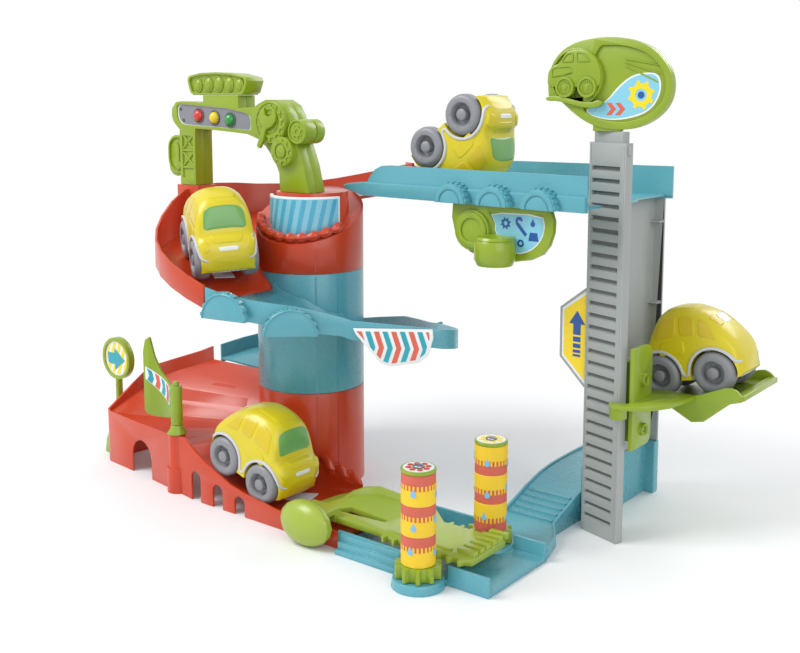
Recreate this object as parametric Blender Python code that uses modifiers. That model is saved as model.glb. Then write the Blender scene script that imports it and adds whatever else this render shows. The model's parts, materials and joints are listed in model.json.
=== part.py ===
"""Toy parking garage with a spiral road, a lift, a roller car wash and four cars.

Sizes are in millimetres and MM turns them to metres. The origin is on the column's axis
at the floor, +X runs along the front lane towards the tower, -Y is the front, +Z is up.
"""
import math

import bmesh
import bpy
from mathutils import Matrix, Vector

MM = 0.001
GAP = 0.3                     # running gap between pieces that meet
WALL = 2.4                    # moulded wall and floor thickness
ROUND = 40                    # sides of the column
FILL_LEAN = 0.37              # turn of an outline while it is filled, so that no two corners share a level

# column
COLUMN_RADIUS = 58.0
LOWER_JOIN = 107.0            # red to blue join
UPPER_JOIN = 235.0            # blue to red join
COLUMN_TOP = 292.0            # height of the sloping top on the axis
TOP_SLOPE_X = -0.15
TOP_SLOPE_Y = 0.42
COLLAR_X = 4.0
COLLAR_RADIUS = 40.5
COLLAR_TOP = 317.7

# spiral road round the column: (angle in degrees, floor height)
LOOP_START = 316.7            # just under the bridge's tongue
ROAD_DROP = ((30, LOOP_START), (75, LOOP_START), (128, 292), (184, 268), (231, 248), (257, 230),
             (277, 213), (308, 202), (330, 188), (345, 185), (540, 104))
ROAD_CENTRE_X = -14.0
ROAD_CENTRE_Y = -8.0
ROAD_RADIUS = 150.0           # outer edge of the road
PARAPET = 16.0                # usual height of the outer wall over the floor
SKIRT = 6.0                   # how far the side walls reach below the floor
ROAD_INNER = COLUMN_RADIUS + 0.5

# bridge from the tower to the column
BRIDGE_FLOOR = 320.0
BRIDGE_LEFT = 67.0
BRIDGE_RIGHT = 336.0
BRIDGE_FRONT_LEFT = 16.0      # y of the front wall at the column end
BRIDGE_FRONT_RIGHT = 0.0
BRIDGE_BACK_LEFT = 152.0      # y of the back wall at the column end
BRIDGE_BACK_RIGHT = 184.0
BRIDGE_WALL = 28.0

# front base
BASE_FRONT = -138.0           # y of the front wall's outer face
RAMP_END = 158.0              # x where red meets blue
LANE_END = 326.0
LANE_BACK = -43.0
LANE_FLOOR = 4.5
RAIL_TOP = 18.0
PLATE_BOTTOM = 18.6
PLATE_TOP = 24.0

# car wash
FRONT_ROLLER = (263.0, -152.0)
REAR_ROLLER = (270.0, -50.0)
ROLLER_RADIUS = 15.0
ROLLER_TOP = 106.0
GEAR_TEETH = 10
GEAR_PITCH_RADIUS = 19.0
ADDENDUM = 2.0
GEAR_LOW = 9.0
GEAR_HIGH = 21.0
DISC_RADIUS = 24.0
SPINDLE_RADIUS = 3.0

# tower
TOWER_TURN = math.radians(-17.5)
PANEL_CENTRE = (337.0, 42.0)
PANEL_WIDTH = 46.0
PANEL_DEPTH = 9.0
PANEL_TOP = 377.0
NECK_TOP = PANEL_TOP + 10
LOUVRE_PITCH = 11.6
LOUVRES = 30
WEB_X = 315.0
WEB_FRONT = 56.0
WEB_BACK = 185.0
FOOT_TOP = 56.0

# lift
SHELF_TOP = 138.0
CARRIAGE_X = 366.0            # middle of the upright plate that slides on the tower
TRAY_LEFT = 340.0
TRAY_FLOOR = 121.7            # height of the tray's floor at its left end
TRAY_SLOPE = 0.204            # rise of that floor per millimetre to the right
TRAY_RIGHT = 449.0
TRAY_FRONT = 96.0
TRAY_BACK = 186.0

# gantry over the top loop
GANTRY_Y = -18.0
GANTRY_DEPTH = 26.0
GANTRY_FOOT = 318.0
POST_LEFT = -173.0
POST_RIGHT = -147.0
BEAM_LEFT = -186.0
BEAM_LOW = 384.0               # height of the beam's lower edge at its left end
BEAM_HIGH = 413.0
LAMP_AXIS = 396.0
BAR_LOW = 420.0

# toy car
CAR_LENGTH = 110.0
CAR_WIDTH = 62.0
CAR_HEIGHT = 85.0
SILL = 15.0                   # height of the body's lower edge
WHEEL_RADIUS = 20.5
WHEEL_WIDTH = 16.0
WHEEL_SIDES = 14
ARCH_GAP = 2.4                # air between a wheel and its arch
AXLE_RADIUS = 2.2
HALF_BASE = 27.5              # half the wheelbase
TRACK = 66.0                  # over the wheels

RED = (205, 75, 42)
TEAL = (105, 180, 195)
LIME = (168, 196, 48)
PALE_LIME = (178, 196, 78)
GREY = (163, 167, 167)
YELLOW = (226, 210, 32)
TYRE = (148, 150, 153)
CHASSIS = (205, 207, 212)
STEEL = (170, 172, 176)


def clear_scene():
    for thing in list(bpy.data.objects):
        bpy.data.objects.remove(thing, do_unlink=True)


def linear(rgb):
    """Turns a picture colour of 0 to 255 into Blender's linear values."""
    return tuple((c / 255) ** 2.2 for c in rgb) + (1.0,)


def paint(name, rgb, roughness=0.32, metallic=0.0):
    found = bpy.data.materials.get(name)
    if found:
        return found
    made = bpy.data.materials.new(name)
    made.use_nodes = True
    shader = made.node_tree.nodes["Principled BSDF"]
    shader.inputs["Base Color"].default_value = linear(rgb)
    shader.inputs["Roughness"].default_value = roughness
    shader.inputs["Metallic"].default_value = metallic
    made.diffuse_color = linear(rgb)
    return made


def place(x=0.0, y=0.0, z=0.0, turn=0.0, axis="Z"):
    """A matrix that turns and then moves, with its place in millimetres."""
    return Matrix.Translation(Vector((x, y, z)) * MM) @ Matrix.Rotation(turn, 4, axis)


UPRIGHT = Matrix.Rotation(math.radians(90), 4, "X")


def piece(name, mesh, material, smooth=True):
    """Puts a mesh in the parts collection under its own name."""
    made = bpy.data.objects.new(name, mesh)
    PARTS.objects.link(made)
    mesh.materials.clear()
    mesh.materials.append(material)
    if smooth:
        mesh.shade_smooth()
        mesh.set_sharp_from_angle(angle=math.radians(35))
    return made


def boolean(target, mesh, operation):
    """Joins a mesh to a piece, or cuts it out."""
    tool = bpy.data.objects.new(f"{target.name}_tool", mesh)
    CUTTERS.objects.link(tool)
    tool.hide_render = True
    tool.display_type = "WIRE"
    step = target.modifiers.new(operation.title(), "BOOLEAN")
    step.operation = operation
    step.solver = "EXACT"
    step.object = tool
    return tool


def join(target, *meshes):
    for mesh in meshes:
        boolean(target, mesh, "UNION")


def cut(target, *meshes):
    for mesh in meshes:
        boolean(target, mesh, "DIFFERENCE")


def finished(build):
    """The mesh of a bmesh whose faces point outwards."""
    bmesh.ops.recalc_face_normals(build, faces=build.faces)
    mesh = bpy.data.meshes.new("solid")
    build.to_mesh(mesh)
    build.free()
    return mesh


def loft(rings, closed=False):
    """A solid through rings of the same number of points, capped unless it closes on itself."""
    build = bmesh.new()
    made = [[build.verts.new(Vector(p) * MM) for p in ring] for ring in rings]
    pairs = list(zip(made, made[1:]))
    if closed:
        pairs.append((made[-1], made[0]))
    for low, high in pairs:
        for i in range(len(low)):
            j = (i + 1) % len(low)
            build.faces.new((low[i], low[j], high[j], high[i]))
    if not closed:
        build.faces.new(made[0])
        build.faces.new(made[-1])
    return finished(build)


def block(x0, x1, y0, y1, z0, z1):
    """A box between two corners."""
    build = bmesh.new()
    size = Vector((x1 - x0, y1 - y0, z1 - z0)) * MM
    middle = Vector((x1 + x0, y1 + y0, z1 + z0)) * MM / 2
    bmesh.ops.create_cube(build, size=1.0, matrix=Matrix.Translation(middle) @ Matrix.Diagonal((*size, 1)))
    return finished(build)


def rod(x, y, z0, z1, radius, sides=16, end_radius=None):
    """An upright cylinder or cone."""
    build = bmesh.new()
    top = radius if end_radius is None else end_radius
    bmesh.ops.create_cone(build, cap_ends=True, segments=sides, radius1=radius * MM, radius2=top * MM,
                          depth=(z1 - z0) * MM, matrix=place(x, y, (z0 + z1) / 2))
    return finished(build)


def ball(x, y, z, rx, ry, rz, u=12, v=8):
    """An ellipsoid."""
    build = bmesh.new()
    shape = Matrix.Diagonal((rx * MM, ry * MM, rz * MM, 1))
    bmesh.ops.create_uvsphere(build, u_segments=u, v_segments=v, radius=1.0, matrix=place(x, y, z) @ shape)
    return finished(build)


def plate(outlines, low, high, matrix=Matrix()):
    """A flat outline, with any holes after it, given thickness from low to high along its Z.

    The outline is turned while it is filled, because the fill stumbles over points in a level row."""
    lean = Matrix.Rotation(FILL_LEAN, 4, "Z")
    curve = bpy.data.curves.new("outline", "CURVE")
    curve.dimensions = "2D"
    curve.fill_mode = "BOTH"
    curve.extrude = (high - low) / 2 * MM
    for outline in outlines:
        spline = curve.splines.new("POLY")
        spline.points.add(len(outline) - 1)
        spline.use_cyclic_u = True
        for point, (x, y) in zip(spline.points, outline):
            point.co = (*(lean @ Vector((x * MM, y * MM, 0))), 1)
    holder = bpy.data.objects.new("outline", curve)
    bpy.context.scene.collection.objects.link(holder)
    bpy.context.view_layer.update()
    mesh = bpy.data.meshes.new_from_object(holder.evaluated_get(bpy.context.evaluated_depsgraph_get()))
    bpy.data.objects.remove(holder)
    build = bmesh.new()
    build.from_mesh(mesh)
    bmesh.ops.remove_doubles(build, verts=build.verts, dist=0.00002)
    mesh = finished(build)
    mesh.transform(matrix @ Matrix.Translation((0, 0, (high + low) / 2 * MM)) @ lean.inverted())
    return mesh


def turned(profile, sides=24, closed=False, matrix=Matrix()):
    """A turned solid: (radius, height) points from the top down its outer side."""
    mesh = bpy.data.meshes.new("profile")
    edges = [(i, i + 1) for i in range(len(profile) - 1)]
    if closed:
        edges.append((len(profile) - 1, 0))
    mesh.from_pydata([(r * MM, 0, z * MM) for r, z in profile], edges, [])
    holder = bpy.data.objects.new("profile", mesh)
    bpy.context.scene.collection.objects.link(holder)
    screw = holder.modifiers.new("Screw", "SCREW")
    screw.steps = sides
    screw.render_steps = sides
    screw.use_merge_vertices = True
    screw.merge_threshold = 0.00002
    bpy.context.view_layer.update()
    made = bpy.data.meshes.new_from_object(holder.evaluated_get(bpy.context.evaluated_depsgraph_get()))
    bpy.data.objects.remove(holder)
    build = bmesh.new()
    build.from_mesh(made)
    bmesh.ops.remove_doubles(build, verts=build.verts, dist=0.00002)
    made = finished(build)
    made.transform(matrix)
    return made


def arc(x, y, radius, start, stop, steps, squash=1.0):
    """Points along a round stretch, with its angles in degrees."""
    turns = [math.radians(start + (stop - start) * i / steps) for i in range(steps + 1)]
    return [(x + radius * math.cos(t), y + radius * squash * math.sin(t)) for t in turns]


def circle(x, y, radius, sides=16, squash=1.0):
    return arc(x, y, radius, 0, 360, sides, squash)[:-1]


def lane_profile(inner, outer, floor, inner_wall, outer_wall, inner_skirt, outer_skirt):
    """One section of a road: a floor with a wall and a skirt at each edge."""
    run = Vector(outer) - Vector(inner)
    width = run.length
    along = run / width
    points = ((width, floor - outer_skirt), (width, floor + outer_wall), (width - WALL, floor + outer_wall),
              (width - WALL, floor), (WALL, floor), (WALL, floor + inner_wall), (0, floor + inner_wall),
              (0, floor - inner_skirt), (WALL, floor - inner_skirt), (WALL, floor - WALL),
              (width - WALL, floor - WALL), (width - WALL, floor - outer_skirt))
    return [(inner[0] + along.x * s, inner[1] + along.y * s, z) for s, z in points]


def road_height(angle):
    """Floor height of the spiral road at an angle in degrees."""
    for (a, low), (b, high) in zip(ROAD_DROP, ROAD_DROP[1:]):
        if angle <= b:
            return low + (high - low) * (angle - a) / (b - a)
    return ROAD_DROP[-1][1]


def inner_edge(angle):
    turn = math.radians(angle)
    return (ROAD_INNER * math.cos(turn), ROAD_INNER * math.sin(turn))


def outer_edge(angle, radius=ROAD_RADIUS):
    """Where the outer edge meets a ray from the column's axis."""
    turn = math.radians(angle)
    ray = Vector((math.cos(turn), math.sin(turn)))
    middle = Vector((ROAD_CENTRE_X, ROAD_CENTRE_Y))
    along = ray.dot(middle)
    reach = along + math.sqrt(along * along - middle.length_squared + radius * radius)
    return tuple(ray * reach)


def road(name, sections, material):
    """A stretch of road from sections of (inner, outer, floor, walls, skirts)."""
    return piece(name, loft([lane_profile(*section) for section in sections]), material)


def half_tyre(x, y, z, radius, angle, thickness=3.2):
    """A half tyre with a notched tread, standing on a parapet."""
    outline = []
    notches = 9
    for i in range(notches * 2 + 1):
        turn = math.pi * i / (notches * 2)
        reach = radius if i % 2 else radius * 0.93
        outline.append((reach * math.cos(turn), reach * math.sin(turn)))
    return plate([outline], 0, thickness, place(x, y, z, angle) @ UPRIGHT)


def top_plane(x, y):
    return COLUMN_TOP + TOP_SLOPE_X * x + TOP_SLOPE_Y * y


def ring_points(radius, height):
    """Points round the column, whose height is a number or a function of the place."""
    made = []
    for i in range(ROUND):
        turn = 2 * math.pi * i / ROUND
        x, y = radius * math.cos(turn), radius * math.sin(turn)
        made.append((x, y, height(x, y) if callable(height) else height))
    return made


def lumps(path, count, low, high, per_lump=4, sides=7):
    """A row of pebbles: a bar along a path that swells and narrows."""
    rings = []
    total = count * per_lump
    for i in range(total + 1):
        x, y, z, facing = path(i / total)
        size = low + (high - low) * abs(math.sin(math.pi * i / per_lump))
        ring = []
        for k in range(sides):
            turn = 2 * math.pi * k / sides
            out = size * math.cos(turn)
            ring.append((x + out * math.cos(facing), y + out * math.sin(facing), z + size * math.sin(turn)))
        rings.append(ring)
    return loft(rings)


def rim_path(share):
    turn = math.radians(212 + 138 * share)
    radius = COLUMN_RADIUS - 4
    x, y = COLLAR_X * 0.4 + radius * math.cos(turn), radius * math.sin(turn)
    return x, y, top_plane(x, y) + 5, turn


def kerb_path(share):
    turn = math.radians(-38 + 22 * share)
    return 52 + 48 * share, -44 + 8 * share, 37 - 17 * share, turn


def make_column(red, teal):
    inner = COLUMN_RADIUS - WALL
    piece("column_lower", turned([(0, WALL), (inner, WALL), (inner, LOWER_JOIN - GAP),
                                  (COLUMN_RADIUS, LOWER_JOIN - GAP), (COLUMN_RADIUS, 0), (0, 0)], ROUND), red, True)
    piece("column_middle", turned([(COLUMN_RADIUS, UPPER_JOIN - GAP), (COLUMN_RADIUS, LOWER_JOIN),
                                   (inner, LOWER_JOIN), (inner, UPPER_JOIN - GAP)], ROUND, True), teal, True)
    top = piece("column_top", loft([ring_points(inner, lambda x, y: top_plane(x, y) - WALL),
                                    ring_points(inner, UPPER_JOIN), ring_points(COLUMN_RADIUS, UPPER_JOIN),
                                    ring_points(COLUMN_RADIUS, top_plane)]), red)
    join(top, rod(COLLAR_X, 0, COLUMN_TOP - COLLAR_RADIUS * TOP_SLOPE_Y - 8, COLLAR_TOP, COLLAR_RADIUS + 1, 24,
                  COLLAR_RADIUS - 2), lumps(rim_path, 10, 2.8, 5.6))


def make_top_loop(red):
    """Upper road from the bridge, behind the column and round to the front."""
    start = [((108, 30), (108, 148), LOOP_START, 0.6, 0.6, 3.5, SKIRT),
             ((72, 33), (76, 147), LOOP_START, 0.6, 0.6, 3.5, SKIRT)]
    sections = list(start)
    walls = {46: 0.8, 54: 24, 60: 26, 70: 26, 128: 24, 150: 30, 165: 40, 175: 45.5, 184: 48.5, 193: 48.5, 204: 40,
             218: 27, 231: 22, 277: PARAPET}
    marks = sorted(walls)

    def wall_at(angle):
        for a, b in zip(marks, marks[1:]):
            if angle <= b:
                return walls[a] + (walls[b] - walls[a]) * (angle - a) / (b - a)
        return walls[marks[-1]]

    for angle in (45, 53, 62, 72, 84, 96, 108, 120, 132, 144, 156, 166, 175, 184, 193, 202, 212, 222, 232, 242,
                  252, 262, 271):
        outer = outer_edge(angle) if angle > 70 else (72 * (70 - angle) / 40 + 8, 143)
        sections.append((inner_edge(angle), outer, road_height(angle), 0.6, wall_at(angle), 3.5, SKIRT))
    top = road("top_loop", sections, red)
    join(top, block(POST_LEFT - 5, POST_RIGHT + 4, GANTRY_Y - 14, GANTRY_Y + 14, 256, GANTRY_FOOT - GAP))
    cut(top, block(-10, 22, -145, -112, 190, 230))


def make_spiral(teal):
    """Road in front of the column with its bowl at the right."""
    sections = []
    for angle in (271.6, 280, 289, 298, 307, 316):
        sections.append((inner_edge(angle), outer_edge(angle), road_height(angle), 7, PARAPET, 3.5, SKIRT))
    bowl = {323: (118, -84), 329: (126, -77), 340: (170.6, -54.4), 346: (192, -42.5), 351: (202, -32), 356: (205, -18),
            362: (200, -4), 368: (188, 10), 375: (171, 24), 382: (154, 38), 390: (138, 50)}
    for angle, outer in bowl.items():
        rise = 7 if angle < 350 else 3
        sections.append((inner_edge(angle), outer, road_height(angle), rise, 14, 3.5, 5))
    spiral = road("spiral_ramp", sections, teal)
    join(spiral, half_tyre(29, -152, 204, 28, math.radians(9), 6), half_tyre(84, -120, 190, 28, math.radians(42), 6))


def make_back_ramp(teal):
    """Road behind the column down to the red platform."""
    sections = []
    for angle in (390.7, 400, 411, 422, 433, 444, 455, 466, 477, 488, 500, 512, 524, 535):
        near = max(0.0, (430 - angle) / 40)
        outer = outer_edge(angle - 360, 140 + 10 * min(1, max(0, angle - 440) / 60))
        mixed = (outer[0] + (140 - outer[0]) * near, outer[1] + (54 - outer[1]) * near)
        sections.append((inner_edge(angle), mixed, road_height(angle), 0.6, PARAPET, 3.5, SKIRT))
    road("back_ramp", sections, teal)


def make_base_ramp(red):
    """Red platform at the left and the front ramp, whose front wall stands on the floor."""
    sections = [(inner_edge(175.6), (-163, 2), 106, 0.6, 16, 3.5, 8),
                (inner_edge(184), (-172, -8), 102, 0.6, 15, 3.5, 10),
                (inner_edge(194), (-192, -30), 94, 0.6, 15, 3.5, 30),
                (inner_edge(204), (-214, -53), 84, 0.6, 16, 3.5, 83.9),
                (inner_edge(214), (-216, -82), 70, 0.6, 11, 3.5, 69.9),
                (inner_edge(222), (-218, -111), 57.5, 0.6, 3.5, 3.5, 57.5),
                (inner_edge(228), (-212, -114), 57, 0.6, 3, 3.5, 57),
                (inner_edge(234), (-150, -121), 56, 0.6, 3, 3.5, 56),
                (inner_edge(240), (-95, -129), 55, 0.6, 5, 3.5, 55),
                (inner_edge(246), (-58, -135), 51, 0.6, 12.4, 3.5, 51)]
    front = ((inner_edge(253), -41, 45, 10), (inner_edge(260), -23, 36, 9), (inner_edge(267), -5, 29, 8),
             (inner_edge(275), 14, 22.5, 7), (inner_edge(284), 34, 18, 7), (inner_edge(294), 50, 15.5, 7),
             (inner_edge(305), 62, 14, 7.5), ((62, -41), 76, 12, 7), ((90, -38), 92, 11, 7), ((RAMP_END, -30), RAMP_END, 8, 8))
    for inner, x, floor, wall in front:
        sections.append((inner, (x, BASE_FRONT), floor, 0.6, wall, 3.5, floor))
    ramp = road("base_ramp", sections, red)
    cut(ramp, arch(-145, 40, 40, math.radians(-6.5), -122), arch(-38, 15, 32, 0, BASE_FRONT),
        arch(-5, 15, 25, 0, BASE_FRONT), arch(27, 15, 20, 0, BASE_FRONT))
    join(ramp, rod(-77, -128, 0, 27, 12, 14, 11.5), rod(-77, -128, 26, 63, 9.5, 14, 9), lumps(kerb_path, 3, 5.5, 10.5),
         loft([rectangle(50, -49, -41, 9, 36), rectangle(98, -40, -33, 7, 19)]))


def rectangle(x, near, far, low, high):
    return [(x, near, low), (x, far, low), (x, far, high), (x, near, high)]


def arch(x, width, height, turn, y):
    """A cutter for an arched doorway in the front wall."""
    outline = [(width / 2, -5)] + arc(0, height - width / 2, width / 2, 0, 180, 8) + [(-width / 2, -5)]
    return plate([outline], -9, 9, place(x, y, 0, turn) @ UPRIGHT)


def make_lane(teal):
    """Blue lane under the slider, its rails, steps, roller discs and exit walls."""
    left = RAMP_END + GAP
    lane = piece("base_lane", plate([[(left, BASE_FRONT), (LANE_END, BASE_FRONT), (LANE_END, LANE_BACK),
                                      (244, LANE_BACK), (244, -30), (left, -30)]], 0, LANE_FLOOR), teal)
    exit_wall = 284
    join(lane, block(exit_wall, LANE_END, BASE_FRONT, BASE_FRONT + 3, 1, RAIL_TOP),
         block(exit_wall + 9, LANE_END, LANE_BACK - 3, LANE_BACK, 1, RAIL_TOP),
         block(left, 236, BASE_FRONT, BASE_FRONT + 3, 1, RAIL_TOP), block(left, 240, -33, -30, 1, RAIL_TOP))
    for i in range(3):
        join(lane, block(164, 234, BASE_FRONT - 11 + 4 * i, BASE_FRONT + 1, 0 if i == 0 else 2, 6 * (i + 1) - 1))
    for x, y in (FRONT_ROLLER, REAR_ROLLER):
        join(lane, rod(x, y, 0, 8, DISC_RADIUS, 24, DISC_RADIUS - 1.5))
        join(lane, rod(x, y, 6, ROLLER_TOP - 8, SPINDLE_RADIUS, 12))


def make_hump(teal):
    """Ramp that climbs to the tower, with cross ribs."""
    heights = ((LANE_BACK + GAP, 5), (-8, 7), (12, 11), (32, 17.5), (55, 25), (80, 31), (104, 34), (140, 35), (184, 35))
    sections = []
    for y, floor in heights:
        outer = 303.0 if y > 8 else 326.0 - 23 * max(0, y + 20) / 28
        sections.append(((outer, y), (245, y), floor, 2.5, 2.5, floor, floor))
    hump = road("hump_ramp", sections, teal)
    cut(hump, rod(*REAR_ROLLER, -5, 60, DISC_RADIUS + GAP, 24))
    for i in range(5):
        y = 14 + 9 * i
        join(hump, block(250, 298, y, y + 3, road_slope(heights, y) - 1.5, road_slope(heights, y + 3) + 0.9))


def road_slope(heights, y):
    for (a, low), (b, high) in zip(heights, heights[1:]):
        if y <= b:
            return low + (high - low) * (y - a) / (b - a)
    return heights[-1][1]


def gear_outline(phase):
    """Outline of a gear with flat-topped teeth."""
    outline = []
    step = 2 * math.pi / GEAR_TEETH
    root = GEAR_PITCH_RADIUS - ADDENDUM - 0.6
    tip = GEAR_PITCH_RADIUS + ADDENDUM
    for i in range(GEAR_TEETH):
        middle = phase + i * step
        for radius, half in ((root, 2.9), (tip, 1.4)):
            outline.append((radius, middle - half / radius))
        for radius, half in ((tip, 1.4), (root, 2.9)):
            outline.append((radius, middle + half / radius))
    return [(r * math.cos(t), r * math.sin(t)) for r, t in outline]


def make_rollers(lime, coral, steel):
    bore = SPINDLE_RADIUS + GAP
    core = ROLLER_RADIUS - 1.6
    for name, (x, y), phase in (("front", FRONT_ROLLER, math.radians(90)), ("rear", REAR_ROLLER, math.radians(-90))):
        roller = piece(f"roller_{name}", turned(
            [(ROLLER_RADIUS + 0.4, ROLLER_TOP), (ROLLER_RADIUS + 0.4, ROLLER_TOP - 3), (core, ROLLER_TOP - 3),
             (core, GEAR_LOW + 2), (bore, GEAR_LOW + 2), (bore, ROLLER_TOP)], 20, True, place(x, y)), lime)
        join(roller, plate([gear_outline(phase), circle(0, 0, bore, 20)], GEAR_LOW, GEAR_HIGH, place(x, y)))
        piece(f"roller_sleeve_{name}", turned(
            [(ROLLER_RADIUS, ROLLER_TOP - 3 - GAP), (ROLLER_RADIUS, GEAR_HIGH + GAP), (core + GAP, GEAR_HIGH + GAP),
             (core + GAP, ROLLER_TOP - 3 - GAP)], 20, True, place(x, y)), coral)
        piece(f"roller_screw_{name}", turned(
            [(0, ROLLER_TOP + 2.4), (4.5, ROLLER_TOP + 1.8), (5, ROLLER_TOP + GAP), (2, ROLLER_TOP + GAP),
             (2, ROLLER_TOP - 7.6), (0, ROLLER_TOP - 7.6)], 12, False, place(x, y)), steel)


def rack(edge, start, stop, tooth_at, side):
    """Rack teeth along an edge: points from start to stop in x, with a gap centred on tooth_at."""
    pitch = 2 * math.pi * GEAR_PITCH_RADIUS / GEAR_TEETH
    tip = edge + side * ADDENDUM
    root = edge - side * (ADDENDUM + 0.6)
    first = math.ceil((start - tooth_at) / pitch - 0.5)
    made = []
    while True:
        middle = tooth_at + (first + 0.5) * pitch
        if middle + 3 > stop:
            break
        made += [(middle - 2.6, root), (middle - 1.2, tip), (middle + 1.2, tip), (middle + 2.6, root)]
        first += 1
    return made


def make_slider(lime):
    """Sliding road plate with a rack on each side, a finger ear over the front wall and a ribbed grip."""
    front = FRONT_ROLLER[1] + GEAR_PITCH_RADIUS
    rear = REAR_ROLLER[1] - GEAR_PITCH_RADIUS
    front_root = front - ADDENDUM - 0.6
    outline = [(112, -126), (198, -126)]
    outline += [(x, y) for x, y in rack(front, 206, 300, FRONT_ROLLER[0], -1)]
    outline += [(302, front + 6), (302, rear - 6)]
    outline += list(reversed(rack(rear, 240, 300, REAR_ROLLER[0], 1)))
    outline += [(234, rear - 4), (206, -49), (136, -48.5), (124, -57), (118, -72), (115, -102)]
    slot = [(130, -113), (190, -107), (190, -102), (141, -97)]
    slider = piece("slider", plate([outline, slot], PLATE_BOTTOM, PLATE_TOP), lime)
    tip = []
    for x, y in ((114, -125), (117.5, -100), (121, -72), (127, -58)):
        tip.append([(x, y, PLATE_TOP - 0.6), (x, y, PLATE_BOTTOM + 0.4), (x - 18, y, PLATE_BOTTOM + 0.4), (x - 18, y, PLATE_BOTTOM + 1.8)])
    join(slider, loft(tip))
    ridge = []
    for x, y, high in ((119, -84, 0.5), (121, -71, 4), (127.5, -58.5, 6), (138, -50.6, 6.5), (164, -51, 5), (200, -51.2, 1)):
        ridge.append([(x - 2, y + 1.6, PLATE_TOP - 2), (x - 1.4, y + 1.4, PLATE_TOP + high), (x + 1.6, y - 1.4, PLATE_TOP + high),
                      (x + 3, y - 3, PLATE_TOP - 2)])
    join(slider, loft(ridge))
    join(slider, ball(129, -150, 22, 31, 14, 22, 14, 8))
    cut(slider, block(90, 170, -170, -110, -5, PLATE_BOTTOM - 16))
    join(slider, block(112, 146, -146, -122, 27, 32), block(112, 146, -128, -120, 19.5, 32))
    cut(slider, block(60, 180, BASE_FRONT - 1, BASE_FRONT + 5, -5, 26.4))
    for i in range(6):
        y = -121 + 10 * i
        join(slider, block(282, 300, y, y + 6, PLATE_TOP - 1, PLATE_TOP + 4))
    join(slider, block(206, 276, -124, -119, PLATE_TOP - 1, PLATE_TOP + 2))
    return front_root


def bridge_front(x):
    share = (x - BRIDGE_LEFT) / (BRIDGE_RIGHT - BRIDGE_LEFT)
    return BRIDGE_FRONT_LEFT + (BRIDGE_FRONT_RIGHT - BRIDGE_FRONT_LEFT) * share


def bridge_back(x):
    share = (x - BRIDGE_LEFT) / (BRIDGE_RIGHT - BRIDGE_LEFT)
    return BRIDGE_BACK_LEFT + (BRIDGE_BACK_RIGHT - BRIDGE_BACK_LEFT) * share


def make_bridge(teal):
    """Wide trough from the tower to the top loop."""
    sections = []
    ends = ((0, 8, 3), (5, 16, 12), (12, 23, 20), (21, 27, BRIDGE_WALL), (32, BRIDGE_WALL, BRIDGE_WALL))
    walls = [(BRIDGE_LEFT + step, low, high) for step, low, high in ends]
    for x, front_wall, back_wall in walls + [(x, BRIDGE_WALL, BRIDGE_WALL) for x in (215, 300, BRIDGE_RIGHT)]:
        sections.append(((x, bridge_back(x)), (x, bridge_front(x)), BRIDGE_FLOOR, back_wall, front_wall,
                         WALL + 2.6 if x > 112 else WALL + 0.01, WALL + 2.6))
    bridge = road("bridge", sections, teal)
    tongue = [(92, 24), (66, 38), (46, 62), (40, 72), (48, 84), (66, 112), (92, 130)]
    join(bridge, plate([tongue], BRIDGE_FLOOR - WALL, BRIDGE_FLOOR - 0.1))
    ledge = []
    for x, low, high in ((36, 1.6, 5.4), (42, 0.4, 6.8), (50, -2, 8), (60, -4.4, 9), (70, -4.9, 9.6), (200, -4.9, 10),
                         (BRIDGE_RIGHT - 1, -4.9, 10)):
        y = bridge_front(x)
        ledge.append([(x, y - 3, BRIDGE_FLOOR + low), (x, y + 0.6, BRIDGE_FLOOR + low), (x, y + 0.6, BRIDGE_FLOOR + high - 1.6),
                      (x, y - 1.4, BRIDGE_FLOOR + high), (x, y - 3, BRIDGE_FLOOR + high - 1.6)])
    join(bridge, loft(ledge))
    for x in (188.5, 238.3, 290.7):
        join(bridge, half_tyre(x, bridge_front(x) + 1, BRIDGE_FLOOR - WALL - 2, 20, math.radians(-3.6), 13))
    cut(bridge, panel_space(12), block(WEB_X + 14.6, BRIDGE_RIGHT + 1, 103, 179, BRIDGE_FLOOR - 12, BRIDGE_FLOOR + 3))


def panel_space(margin):
    """The room that the tower's front panel takes, with some air round it."""
    half = PANEL_WIDTH / 2 + margin / 10
    return plate([[(-half, -margin / 2 - 3), (half, -margin / 2 - 3), (half, PANEL_DEPTH + 1), (-half, PANEL_DEPTH + 1)]],
                 -5, PANEL_TOP + 60, place(*PANEL_CENTRE, 0, TOWER_TURN) @ Matrix.Translation((0, -PANEL_DEPTH / 2 * MM, 0)))


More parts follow.
